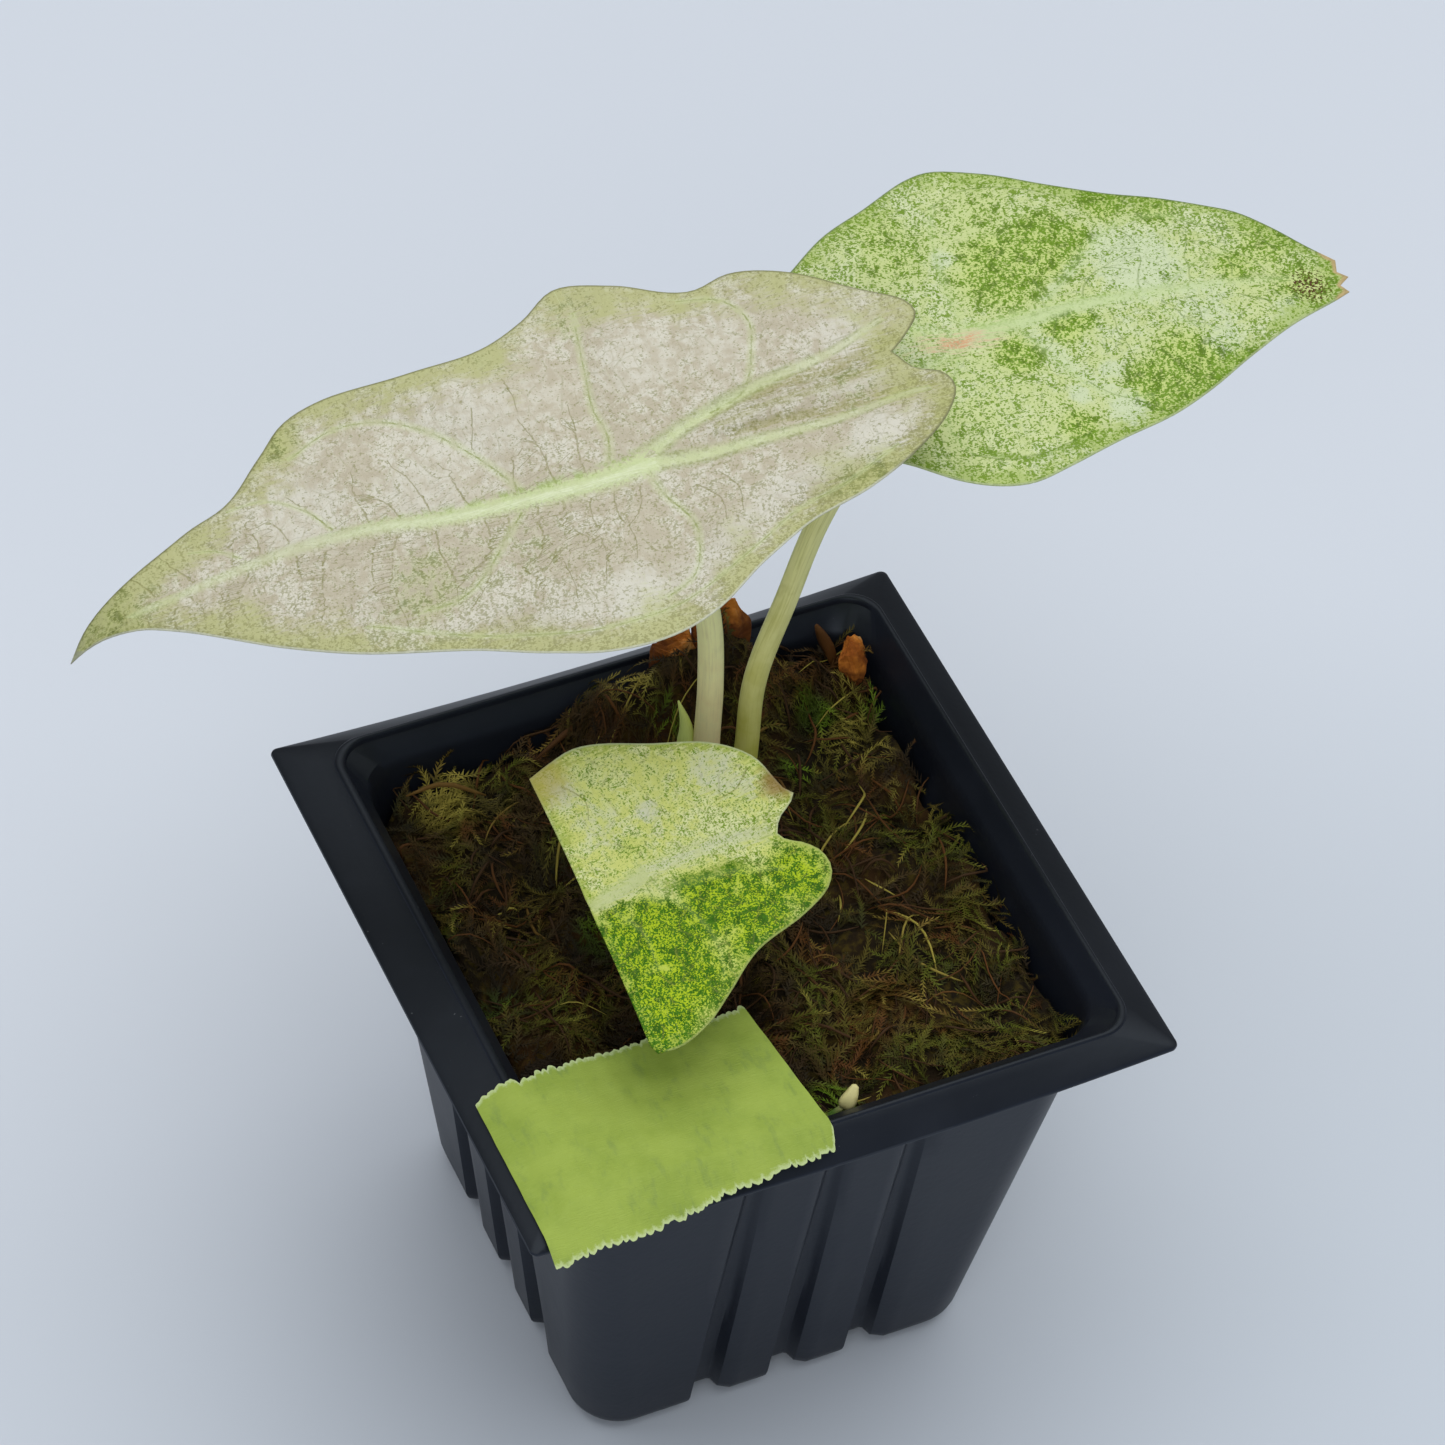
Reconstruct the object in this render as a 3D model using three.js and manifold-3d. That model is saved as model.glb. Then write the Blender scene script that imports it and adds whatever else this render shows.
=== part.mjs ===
// A young variegated alocasia in a square nursery pot, in millimetres, +Z up.
// The origin is on the surface that the pot stands on, under the middle of the pot.
// +X runs along the front of the pot to the right, +Y to the back.

import * as THREE from 'three';
import { mergeVertices } from 'three/addons/utils/BufferGeometryUtils.js';
import Module from 'manifold-3d';

// Driving dimensions of the pot
const rimZ = 70; // outer edge of the flange
const rimHalf = 45; // half of the 90 mm flange
const lipZ = 72; // crest of the lip round the opening
const lipHalfX = 38.8;
const lipHalfY = 40.7;
const lipCentreX = 1.2; // the opening sits a little to the right on the flange
const baseCentreX = 0.3;
const topHalfX = 37.6; // body under the lip
const topHalfY = 39;
const baseHalfX = 28.2; // body at the base
const baseHalfY = 28.8;
const cornerRadius = 7;
const wall = 1;
const flangeThick = 0.8;
const flangeSag = 1.5; // the front and back edges bow down in the middle
const baseFillet = 3.4;
const flutePitch = 11.4;
const fluteTop = { width: 3.4, depth: 0.6 };
const fluteBase = { width: 5, depth: 2.6 };
const fluteEnds = [60, 67]; // they fade out between these heights
const drainAt = 16;
const drainRadius = 3.4;

// Driving dimensions of what is in the pot
const gap = 0.35; // clearance between pieces that touch
const mixZ = 58;
const mossEdgeZ = 64.5;
const mossCrownZ = 67.5;
const mossReach = 42; // the mound falls from the crown to the edge height over this distance
const mossLump = 0.42; // size of the biggest tuft
const cormCentre = [3.2, 9.4];
const cormFootZ = 42;
const cormTopZ = 57.1;
const cormTopRadius = 5.9;
const cormProfile = [[3.4, 43], [5.6, 46], [6.4, 50], [6.3, 54]]; // radius, height
const bladeThick = 0.7;
const ribDepth = 0.5; // the midrib stands this far out of the underside
const ribHalf = 1.6;
const ribFade = [-70, -50]; // it fades out this far from the stalk

const group = new THREE.Group();

function paint(color, roughness, metalness = 0) {
  return new THREE.MeshStandardMaterial({ color, roughness, metalness });
}

function addPiece(name, geometry, material) {
  const mesh = new THREE.Mesh(geometry, material);
  mesh.name = name;
  group.add(mesh);
  return mesh;
}

// A seeded draw, the same on every run
function seeded(seed) {
  let state = seed;
  return () => {
    state = (state * 16807) % 2147483647;
    return state / 2147483647;
  };
}

const lerp = THREE.MathUtils.lerp;
const clamp = THREE.MathUtils.clamp;
const smooth = THREE.MathUtils.smoothstep;

// Closed body through rings of points, each ring going the same way round, with a fan at each end
function loft(rings, startCentre, endCentre) {
  const count = rings[0].length;
  const positions = [];
  rings.forEach((ring) => ring.forEach((p) => positions.push(...p)));
  const start = positions.length / 3;
  positions.push(...startCentre);
  const end = start + 1;
  positions.push(...endCentre);
  const index = [];
  for (let r = 0; r + 1 < rings.length; r += 1) {
    for (let i = 0; i < count; i += 1) {
      const j = (i + 1) % count;
      const a = r * count + i;
      const b = r * count + j;
      index.push(a, b, b + count, a, b + count, a + count);
    }
  }
  const last = (rings.length - 1) * count;
  for (let i = 0; i < count; i += 1) {
    const j = (i + 1) % count;
    index.push(start, j, i, end, last + i, last + j);
  }
  const geometry = new THREE.BufferGeometry();
  geometry.setAttribute('position', new THREE.Float32BufferAttribute(positions, 3));
  geometry.setIndex(index);
  return geometry;
}

// Solids for cutting and joining
const wasm = await Module();
wasm.setup();

function toSolid(geometry) {
  const bare = geometry.clone();
  bare.deleteAttribute('normal');
  bare.deleteAttribute('uv');
  const merged = mergeVertices(bare, 1e-4);
  return new wasm.Manifold(new wasm.Mesh({
    numProp: 3,
    vertProperties: new Float32Array(merged.attributes.position.array),
    triVerts: new Uint32Array(merged.index.array),
  }));
}

function toGeometry(solid) {
  const mesh = solid.getMesh();
  const geometry = new THREE.BufferGeometry();
  geometry.setAttribute('position', new THREE.BufferAttribute(new Float32Array(mesh.vertProperties), 3));
  geometry.setIndex(new THREE.BufferAttribute(new Uint32Array(mesh.triVerts), 1));
  return geometry;
}

function cut(geometry, tools) {
  return toGeometry(tools.reduce((solid, tool) => solid.subtract(toSolid(tool)), toSolid(geometry)));
}

function join(geometries) {
  return toGeometry(geometries.map(toSolid).reduce((sum, solid) => sum.add(solid)));
}

// Round stalk along a smooth path, its radius going through the given values from foot to tip
function stalk(points, radii, { sides = 9, steps = 12, extra = 0 } = {}) {
  const path = new THREE.CatmullRomCurve3(points.map((p) => new THREE.Vector3(...p)), false, 'centripetal');
  const frames = path.computeFrenetFrames(steps, false);
  const rings = [];
  for (let s = 0; s <= steps; s += 1) {
    const at = s / steps;
    const centre = path.getPointAt(at);
    const place = at * (radii.length - 1);
    const low = Math.min(Math.floor(place), radii.length - 2);
    const radius = lerp(radii[low], radii[low + 1], place - low) + extra;
    const ring = [];
    for (let i = 0; i < sides; i += 1) {
      const turn = (i / sides) * Math.PI * 2;
      const point = centre.clone()
        .addScaledVector(frames.normals[s], Math.cos(turn) * radius)
        .addScaledVector(frames.binormals[s], Math.sin(turn) * radius);
      ring.push(point.toArray());
    }
    rings.push(ring);
  }
  return loft(rings, path.getPointAt(0).toArray(), path.getPointAt(1).toArray());
}

// Pot: one ring of the body or flange, a rounded rectangle that may carry three flutes a side
function potRing(z, shape) {
  const { centreX, halfX, halfY, radius, flute, sag = 0 } = shape;
  const points = [];
  const arcSteps = 5;
  for (let side = 0; side < 4; side += 1) {
    const across = side % 2 === 0 ? halfX : halfY;
    const out = side % 2 === 0 ? halfY : halfX;
    const local = [];
    for (let i = 0; i <= arcSteps; i += 1) {
      const turn = Math.PI + (i / arcSteps) * Math.PI * 0.5;
      local.push([-(across - radius) + radius * Math.cos(turn), -(out - radius) + radius * Math.sin(turn)]);
    }
    [-flutePitch, 0, flutePitch].forEach((middle) => {
      const half = flute.width / 2;
      local.push([middle - half, -out]);
      local.push([middle - half * 0.6, -out + flute.depth]);
      local.push([middle + half * 0.35, -out + flute.depth]);
      local.push([middle + half, -out]);
    });
    const turn = side * Math.PI * 0.5;
    local.forEach(([x, y]) => {
      const px = x * Math.cos(turn) - y * Math.sin(turn);
      const py = x * Math.sin(turn) + y * Math.cos(turn);
      const bow = sag * (1 - (px / halfX) ** 2) * (py / halfY) ** 4;
      points.push([px + centreX, py, z - bow]);
    });
  }
  return points;
}

// Body section at a height, moved in by inset
function bodyShape(z, inset) {
  const up = z / rimZ;
  const fade = 1 - smooth(z, ...fluteEnds);
  return {
    centreX: lerp(baseCentreX, lipCentreX, up),
    halfX: lerp(baseHalfX, topHalfX, up) - inset,
    halfY: lerp(baseHalfY, topHalfY, up) - inset,
    radius: Math.max(cornerRadius - inset, 2),
    flute: {
      width: lerp(fluteBase.width, fluteTop.width, up) + inset,
      depth: lerp(fluteBase.depth, fluteTop.depth, up) * fade,
    },
  };
}

function flangeShape(inset, radius, sag = 0) {
  const grow = clamp(inset, 0, 1);
  return {
    centreX: lerp(0, lipCentreX, grow),
    halfX: lerp(rimHalf, lipHalfX, inset),
    halfY: lerp(rimHalf, lipHalfY, inset),
    radius,
    flute: { width: fluteTop.width, depth: 0 },
    sag,
  };
}

function makePot() {
  const rings = [
    potRing(0, bodyShape(0, baseFillet)),
    potRing(baseFillet * 0.3, bodyShape(baseFillet * 0.3, baseFillet * 0.3)),
    potRing(baseFillet, bodyShape(baseFillet, 0)),
    potRing(fluteEnds[0], bodyShape(fluteEnds[0], 0)),
    potRing(fluteEnds[1], bodyShape(fluteEnds[1], 0)),
    potRing(69.6, bodyShape(69.6, 0)),
    potRing(lipZ - 1.4, flangeShape(0.86, 4.2)),
    potRing(rimZ - flangeThick, flangeShape(0, 0.8, flangeSag)),
    potRing(rimZ, flangeShape(0, 0.8, flangeSag)),
    potRing(lipZ - 0.3, flangeShape(0.84, 4.6)),
    potRing(lipZ, flangeShape(0.95, 4.4)),
    potRing(lipZ - 0.5, flangeShape(1.07, 4)),
    potRing(fluteEnds[1], bodyShape(fluteEnds[1], wall)),
    potRing(fluteEnds[0], bodyShape(fluteEnds[0], wall)),
    potRing(baseFillet + wall, bodyShape(baseFillet + wall, wall)),
    potRing(wall * 1.9, bodyShape(wall * 1.9, wall * 2)),
    potRing(wall, bodyShape(wall, baseFillet + wall)),
  ];
  const shell = loft(rings, [baseCentreX, 0, 0], [baseCentreX, 0, wall]);
  const drains = [];
  [-1, 0, 1].forEach((ix) => [-1, 0, 1].forEach((iy) => {
    if (ix === 0 && iy === 0) return;
    const drain = new THREE.CylinderGeometry(drainRadius, drainRadius, wall * 4, 12);
    drain.rotateX(Math.PI / 2);
    drain.translate(ix * drainAt, iy * drainAt, wall / 2);
    drains.push(drain);
  }));
  return cut(shell, drains);
}

// Stalks, from the corm up through the moss to just under each blade
const stalks = {
  petiole_left: {
    path: [[3, 10.4, 57.5], [3.1, 11.3, 66], [4.1, 14.2, 82.9], [5.2, 16.4, 92.5], [5.3, 18.6, 103],
      [2.6, 21.4, 116], [-2.3, 23.3, 127.7]],
    radii: [1.9, 1.85, 1.7, 1.65, 1.6],
    color: 0xb9b68c,
  },
  petiole_right: {
    path: [[6.4, 8.6, 57.5], [6.9, 9.6, 66], [9.8, 13.9, 79.8], [12, 17.1, 89.5], [17.4, 20.4, 99.5],
      [23.1, 23.6, 109.4], [32.5, 26.9, 120.3], [43.4, 29.9, 125.5]],
    radii: [1.65, 1.6, 1.55, 1.5, 1.45],
    color: 0xa3ae5c,
  },
  petiole_front: {
    path: [[3.2, 6, 57.5], [3, 5.4, 66], [1.4, 3.4, 74], [-3.4, -1.2, 82], [-9.6, -6.4, 87.4],
      [-15.4, -10.9, 89.6]],
    radii: [1.5, 1.45, 1.35, 1.3],
    color: 0xa3ae5c,
  },
  new_shoot: {
    path: [[-0.2, 12, 57.5], [-0.1, 13, 66], [1, 15.3, 80], [1.3, 16, 86], [0.9, 16.9, 89.9]],
    radii: [1.3, 1.25, 1.1, 0.95, 0.25],
    color: 0x8fb03c,
  },
};

// Corm with its main roots, made larger by extra for the hole that it fills
function cormAndRoots(extra, topZ) {
  const [cx, cy] = cormCentre;
  const profile = [
    new THREE.Vector2(0, cormFootZ - extra),
    ...cormProfile.map(([radius, z]) => new THREE.Vector2(radius + extra, z)),
    new THREE.Vector2(cormTopRadius + extra, topZ),
    new THREE.Vector2(0, topZ),
  ];
  const corm = new THREE.LatheGeometry(profile, 12);
  corm.rotateX(Math.PI / 2);
  corm.translate(cx, cy, 0);
  const draw = seeded(71);
  const roots = [];
  const rootCount = 6;
  for (let i = 0; i < rootCount; i += 1) {
    const turn = ((i + 0.3 * draw()) / rootCount) * Math.PI * 2;
    const reach = 11 + 6 * draw();
    const foot = 9 + 12 * draw();
    const dx = Math.cos(turn);
    const dy = Math.sin(turn);
    const path = [[cx + dx * 2.5, cy + dy * 2.5, 47], [cx + dx * 7.5, cy + dy * 7.5, 42],
      [cx + dx * reach * 0.9, cy + dy * reach * 0.9, 30],
      [cx * 0.5 + dx * reach, cy * 0.5 + dy * reach, foot]];
    roots.push(stalk(path, [1, 0.8, 0.6], { sides: 5, steps: 5, extra }));
  }
  return join([corm, ...roots]);
}

function makeMix() {
  const inset = wall + gap + 0.1;
  const rings = [
    potRing(wall + gap, bodyShape(wall + gap, baseFillet + inset)),
    potRing(wall * 1.9 + gap, bodyShape(wall * 1.9 + gap, inset + wall)),
    potRing(baseFillet + wall + gap, bodyShape(baseFillet + wall + gap, inset)),
    potRing(mixZ, bodyShape(mixZ, inset + 0.15)),
  ];
  const fill = loft(rings, [baseCentreX, 0, wall + gap], [lipCentreX, 0, mixZ]);
  return cut(fill, [cormAndRoots(gap, mixZ + 2)]);
}

// Height of the moss bed, a low mound with soft tufts
const mossDraw = seeded(9);
const mossWaves = Array.from({ length: 14 }, () => {
  const turn = mossDraw() * Math.PI * 2;
  const length = 7 + 11 * mossDraw();
  const phase = mossDraw() * 6.28;
  return { x: Math.cos(turn) / length, y: Math.sin(turn) / length, phase, size: length / 18 };
});

function mossHeight(x, y) {
  const away = Math.hypot(x - cormCentre[0], y - cormCentre[1]) / mossReach;
  const mound = lerp(mossCrownZ, mossEdgeZ, clamp(away, 0, 1));
  const lumps = mossWaves.map((w) => w.size * Math.sin((w.x * x + w.y * y) * 6.28 + w.phase));
  return mound + lumps.reduce((sum, lump) => sum + lump) * mossLump;
}

// A bud on a short stalk that rises out of the moss beside the tape
function makeSprout(extra = 0) {
  const stemPath = [[-0.6, -34.6, 62.4], [-0.2, -35.6, 65.2], [1.9, -36.4, 67.8]];
  const budPath = [[1.5, -36.2, 67.3], [2.4, -36.2, 68.7], [3.5, -35.6, 70.4]];
  const stem = stalk(stemPath, [0.5, 0.42], { sides: 6, steps: 5, extra });
  const bud = stalk(budPath, [0.5, 1.1, 0.3], { sides: 8, steps: 6, extra });
  return join([stem, bud]);
}

// Bits of bark: lumps with uneven faces, each standing in the moss
const chips = {
  bark_chip_back: { at: [18, 36.7, 73], size: [6, 1.7, 9.2], lean: -14, turn: 6, seed: 5 },
  bark_chip_side: { at: [7.6, 35.8, 69.8], size: [3, 1.3, 7], lean: -12, turn: -6, seed: 17 },
  bark_chip_corner: { at: [34.2, 31, 68.6], size: [2.7, 2.5, 3.6], lean: 0, turn: 35, seed: 29 },
};

function makeChip({ at, size, lean, turn, seed }, extra = 0) {
  const draw = seeded(seed);
  const ball = new THREE.IcosahedronGeometry(1, 1);
  ball.deleteAttribute('normal');
  ball.deleteAttribute('uv');
  const lump = mergeVertices(ball, 1e-4);
  const position = lump.attributes.position;
  for (let i = 0; i < position.count; i += 1) {
    const swell = 0.86 + 0.28 * draw();
    const along = (k, value) => value * (size[k] * swell + extra);
    position.setXYZ(i, along(0, position.getX(i)), along(1, position.getY(i)), along(2, position.getZ(i)));
  }
  lump.rotateX(THREE.MathUtils.degToRad(lean));
  lump.rotateZ(THREE.MathUtils.degToRad(turn));
  lump.translate(...at);
  return lump;
}

function makeMoss() {
  const under = mixZ + gap;
  const edge = potRing(under, bodyShape(62, wall + gap + 0.5));
  const scale = (k, z) => edge.map(([x, y]) => {
    const px = lipCentreX + (x - lipCentreX) * k;
    const py = y * k;
    return [px, py, z === null ? mossHeight(px, py) : z];
  });
  const low = edge.map(([x, y]) => [x * 0.975, y * 0.975, under]);
  const rings = [low, scale(1, null).map(([x, y, z]) => [x, y, z - 2.2])];
  [0.94, 0.83, 0.7, 0.55, 0.38, 0.2].forEach((k) => rings.push(scale(k, null)));
  const bed = loft(rings, [lipCentreX, 0, under], [lipCentreX, 0, mossHeight(lipCentreX, 0)]);
  const holes = Object.values(stalks).map(({ path, radii }) => stalk(path, radii, { extra: gap }));
  return cut(bed, [...holes, ...Object.values(chips).map((chip) => makeChip(chip, gap)), makeSprout(gap)]);
}

// Blades. A run of an outline is smooth, and runs meet at corners. Points are [along, across] in mm
// from where the stalk meets the blade, along being the way to the tip.
const blades = {
  leaf_left: {
    at: [-2.7, 23.7, 130],
    heading: 173,
    droop: 9,
    roll: -12,
    runs: [
      [[75.6, -0.7], [72.6, -3.2], [65, -6.4], [58, -9.7], [51, -12.4], [45.5, -17.2], [41.5, -20.6],
        [36, -22], [25, -21.5], [15.5, -21.9], [8.6, -24.6], [3.5, -27.6], [-4, -25.4], [-13, -22],
        [-18.4, -22.7], [-24.9, -20.2], [-32.4, -15.4], [-38.4, -11.9], [-39.2, -9.7], [-37, -7],
        [-34.4, -4.9]],
      [[-34.4, -4.9], [-36.3, -1.9], [-39.5, -0.2], [-40.4, 2.4], [-37.7, 6.8], [-32, 10.6], [-26, 13.1],
        [-17.3, 15.2], [-10, 18.9], [-2.8, 23.1], [5, 25], [12.6, 24.7], [19, 22.4], [27, 18.8],
        [41.1, 14.7], [50, 10.8], [61.8, 3.6], [68, 0.5], [72.5, -0.5], [75.6, -0.7]],
    ],
    bend: (u, v) => -0.0008 * Math.max(u, 0) ** 2 - 0.045 * Math.max(u - 64, 0) ** 2
      - 0.0006 * Math.min(u, 0) ** 2 - 0.0016 * v ** 2,
    waves: [0.6, 7, 0.4],
    spacing: 4.2, // of the points along the outline
    color: 0xcdc8b4,
  },
  leaf_right: {
    at: [44.9, 29.7, 128],
    heading: -9,
    droop: 1,
    roll: 10,
    runs: [
      [[52.3, 5.1], [48.9, 8.2], [44.7, 12.5], [41.1, 15.5], [36.9, 17.4], [31.3, 19.3], [24.1, 20.7],
        [16.5, 22.8], [9.2, 25.9], [3, 27.8], [-0.5, 27], [-7.9, 22.3], [-14.3, 18.7], [-19.7, 14.2],
        [-25, 9.8], [-28.6, 6.6], [-29.8, 3.8], [-28, 1.4], [-25.5, 0.2]],
      [[-25.5, 0.2], [-27.6, -1.6], [-29.6, -4], [-29, -7.2], [-25, -10.8], [-19, -14.2], [-12.4, -17.5],
        [-6, -20.8], [2.5, -22.6], [8.5, -21.2], [17.6, -17.7], [24, -15.2], [30.6, -12], [37.2, -7.9],
        [43.9, -4.2], [50.6, -1.2]],
      [[50.6, -1.2], [52.6, -0.2]],
      [[52.6, -0.2], [51.7, 1]],
      [[51.7, 1], [53.2, 2.2]],
      [[53.2, 2.2], [51.9, 3.2]],
      [[51.9, 3.2], [52.3, 5.1]],
    ],
    bend: (u, v) => -0.0008 * Math.max(u, 0) ** 2 - 0.0006 * Math.min(u, 0) ** 2 - 0.0016 * v ** 2,
    waves: [0.6, 6, 1.7],
    spacing: 4.2,
    color: 0xb4cf98,
  },
  leaf_front: {
    at: [-16.2, -11.6, 92],
    heading: -176,
    droop: 4.5,
    roll: -22,
    runs: [
      [[7.2, -18.4], [4, -19.3], [0.1, -19.8], [-8.5, -16.9], [-16.2, -13.5], [-20.2, -9.6], [-21.4, -5.8],
        [-21.8, -4.4]],
      [[-21.8, -4.4], [-22.7, -3.2]],
      [[-22.7, -3.2], [-21.8, -2.2], [-19.6, -0.9], [-18.6, 0.8], [-19.3, 1.9], [-21.2, 3.3], [-22.6, 5],
        [-22.9, 7.4], [-21.3, 9.7], [-16.6, 11.8], [-9.1, 13.7], [-3.6, 17.1], [0.4, 19.5], [5, 20.9],
        [8.3, 20.6]],
      [[8.3, 20.6], [8.8, 19.4]],
      [[8.8, 19.4], [7.8, 0.6], [7.2, -18.4]],
    ],
    bend: (u, v) => -0.0016 * v ** 2,
    waves: [0.5, 5, 3.1],
    spacing: 2.6,
    color: 0xa9c46a,
  },
};

// The outline as evenly spaced points, corners kept
function outlineOf(runs, spacing) {
  const points = [];
  runs.forEach((run) => {
    const knots = run.map(([u, v]) => new THREE.Vector3(u, v, 0));
    const curve = new THREE.CatmullRomCurve3(knots, false, 'centripetal');
    const count = Math.max(1, Math.round(curve.getLength() / spacing));
    curve.getSpacedPoints(count).slice(0, -1).forEach((p) => points.push([p.x, p.y]));
  });
  const flat = points.map(([u, v]) => new THREE.Vector2(u, v));
  return THREE.ShapeUtils.area(flat) < 0 ? points.reverse() : points;
}

// Soft waves that grow toward the edge
function ripple(u, v, size, count, phase) {
  const out = Math.min(Math.hypot(u, v) / 30, 1);
  return size * out * out * Math.sin(count * Math.atan2(v, u) + phase);
}

// A blade is rings that shrink from the outline to the stalk's end. Both faces are split alike.
function makeBlade({ runs, bend, waves, spacing }) {
  const height = (u, v) => bend(u, v) + ripple(u, v, ...waves);
  const outline = outlineOf(runs, spacing);
  const shares = [0.92, 0.72, 0.48, 0.22];
  const rib = (u, v) => ribDepth * Math.exp(-((v / ribHalf) ** 2)) * smooth(-Math.abs(u), ...ribFade);
  const top = (k) => outline.map(([u, v]) => [u * k, v * k, height(u * k, v * k)]);
  const under = (k) => outline.map(([u, v]) => {
    const z = height(u * k, v * k) - bladeThick;
    return [u * k, v * k, k === 1 ? z : z - rib(u * k, v * k)];
  });
  const rings = [...shares.map(under).reverse(), under(1), top(1), ...shares.map(top)];
  return loft(rings, [0, 0, -bladeThick - ribDepth], [0, 0, 0]);
}

function addBlade(name, blade) {
  const mesh = addPiece(name, makeBlade(blade), paint(blade.color, 0.42));
  const { heading, droop, roll } = blade;
  mesh.position.set(...blade.at);
  mesh.rotation.set(
    THREE.MathUtils.degToRad(roll),
    THREE.MathUtils.degToRad(droop),
    THREE.MathUtils.degToRad(heading),
    'ZYX',
  );
}

// Label tape, stuck to the left and front flange and free over the moss
const tape = {
  left: -42.6,
  rightFront: -2.4,
  rightBack: -5.6,
  front: -46.9, // at the left; it draws back to the right
  frontSlant: 2.6,
  cornerCut: 2.2,
  cornerStart: 0.92,
  back: -21.1,
  thick: 0.6,
  toothSize: 0.5,
  hump: 0.5, // it bulges up this much over the moss
};

function flangeTop(x, y) {
  const left = (lipCentreX - lipHalfX - x) / (rimHalf + lipCentreX - lipHalfX);
  const front = (-lipHalfY - y) / (rimHalf - lipHalfY);
  return lipZ - (lipZ - rimZ) * Math.max(left, front, 0);
}

function makeTape() {
  const draw = seeded(23);
  const lipX = lipCentreX - lipHalfX;
  const toRight = 18;
  const xs = [tape.left, (tape.left + lipX) / 2];
  for (let i = 0; i <= toRight; i += 1) xs.push(lerp(lipX, tape.rightFront, i / toRight));
  const columns = xs.length - 1;
  const overMoss = [0, 0.33, 0.67, 1]; // shares of the way from the lip to the back end
  const rows = overMoss.length + 1;
  const teeth = () => xs.map((_, i) => (i % 2 ? 1 : -1) * tape.toothSize * (0.3 + draw()));
  const frontTeeth = teeth();
  const backTeeth = teeth();
  const columnYs = xs.map((_, i) => {
    const across = i / columns;
    const corner = tape.cornerCut * smooth(across, tape.cornerStart, 1);
    const front = tape.front + tape.frontSlant * across + corner + frontTeeth[i];
    const back = tape.back + backTeeth[i];
    return [front, (front - lipHalfY) / 2, ...overMoss.map((share) => lerp(-lipHalfY, back, share))];
  });
  const grid = (lift) => {
    const points = [];
    for (let j = 0; j <= rows; j += 1) {
      xs.forEach((flatX, i) => {
        const y = columnYs[i][j];
        const toBack = (y - tape.front) / (tape.back - tape.front);
        const toSide = clamp((flatX - lipX) / (tape.rightFront - lipX), 0, 1);
        const x = flatX + (tape.rightBack - tape.rightFront) * toBack * toSide;
        const inward = smooth(y, -lipHalfY, tape.back) * smooth(x, lipX, tape.rightBack);
        points.push([x, y, flangeTop(x, y) + gap + lift + tape.hump * inward]);
      });
    }
    return points;
  };
  const low = grid(0);
  const high = grid(tape.thick);
  const at = (i, j) => j * (columns + 1) + i;
  const offset = low.length;
  const index = [];
  for (let j = 0; j < rows; j += 1) {
    for (let i = 0; i < columns; i += 1) {
      const [a, b, c, d] = [at(i, j), at(i + 1, j), at(i + 1, j + 1), at(i, j + 1)];
      index.push(offset + a, offset + b, offset + c, offset + a, offset + c, offset + d);
      index.push(a, c, b, a, d, c);
    }
  }
  const wallBetween = (a, b) => index.push(a, b, offset + b, a, offset + b, offset + a);
  for (let i = 0; i < columns; i += 1) {
    wallBetween(at(i, 0), at(i + 1, 0));
    wallBetween(at(i + 1, rows), at(i, rows));
  }
  for (let j = 0; j < rows; j += 1) {
    wallBetween(at(columns, j), at(columns, j + 1));
    wallBetween(at(0, j + 1), at(0, j));
  }
  const geometry = new THREE.BufferGeometry();
  geometry.setAttribute('position', new THREE.Float32BufferAttribute([...low, ...high].flat(), 3));
  geometry.setIndex(index);
  return geometry;
}

addPiece('pot', makePot(), paint(0x22242c, 0.38));
addPiece('potting_mix', makeMix(), paint(0x3a2a1c, 0.95));
addPiece('corm_and_roots', cormAndRoots(0, cormTopZ), paint(0xc2a878, 0.8));
addPiece('moss_top', makeMoss(), paint(0x4a4a1a, 0.95));
Object.entries(stalks).forEach(([name, { path, radii, color }]) => {
  addPiece(name, stalk(path, radii), paint(color, 0.45));
});
Object.entries(blades).forEach(([name, blade]) => addBlade(name, blade));
addPiece('label_tape', makeTape(), paint(0xa6c968, 0.7));
Object.entries(chips).forEach(([name, chip]) => addPiece(name, makeChip(chip), paint(0x9a5a24, 0.85)));
addPiece('moss_sprout', makeSprout(), paint(0xc9cf9a, 0.6));

export default group;
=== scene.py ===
import math

import bmesh
import bpy
import numpy as np
from mathutils import Matrix, Vector


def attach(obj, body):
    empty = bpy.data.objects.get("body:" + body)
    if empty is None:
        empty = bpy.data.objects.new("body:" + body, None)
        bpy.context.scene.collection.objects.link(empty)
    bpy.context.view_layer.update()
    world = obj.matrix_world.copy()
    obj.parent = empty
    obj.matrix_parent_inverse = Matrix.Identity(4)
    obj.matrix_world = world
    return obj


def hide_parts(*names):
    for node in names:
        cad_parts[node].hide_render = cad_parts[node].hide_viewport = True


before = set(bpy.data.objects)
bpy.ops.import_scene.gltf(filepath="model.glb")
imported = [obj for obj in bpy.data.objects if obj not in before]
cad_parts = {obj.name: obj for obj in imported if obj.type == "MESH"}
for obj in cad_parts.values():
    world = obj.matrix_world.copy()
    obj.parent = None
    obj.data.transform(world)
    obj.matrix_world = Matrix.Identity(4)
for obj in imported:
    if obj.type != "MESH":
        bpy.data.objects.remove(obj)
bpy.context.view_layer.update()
mm = 0.001

# Helpers for shapes


def unlessQuick(full, coarse):
    return full


def deselect():
    if bpy.context.object and bpy.context.object.mode != "OBJECT":
        bpy.ops.object.mode_set(mode="OBJECT")
    bpy.ops.object.select_all(action="DESELECT")


def lerp(a, b, t):
    return a + (b - a) * t


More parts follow.
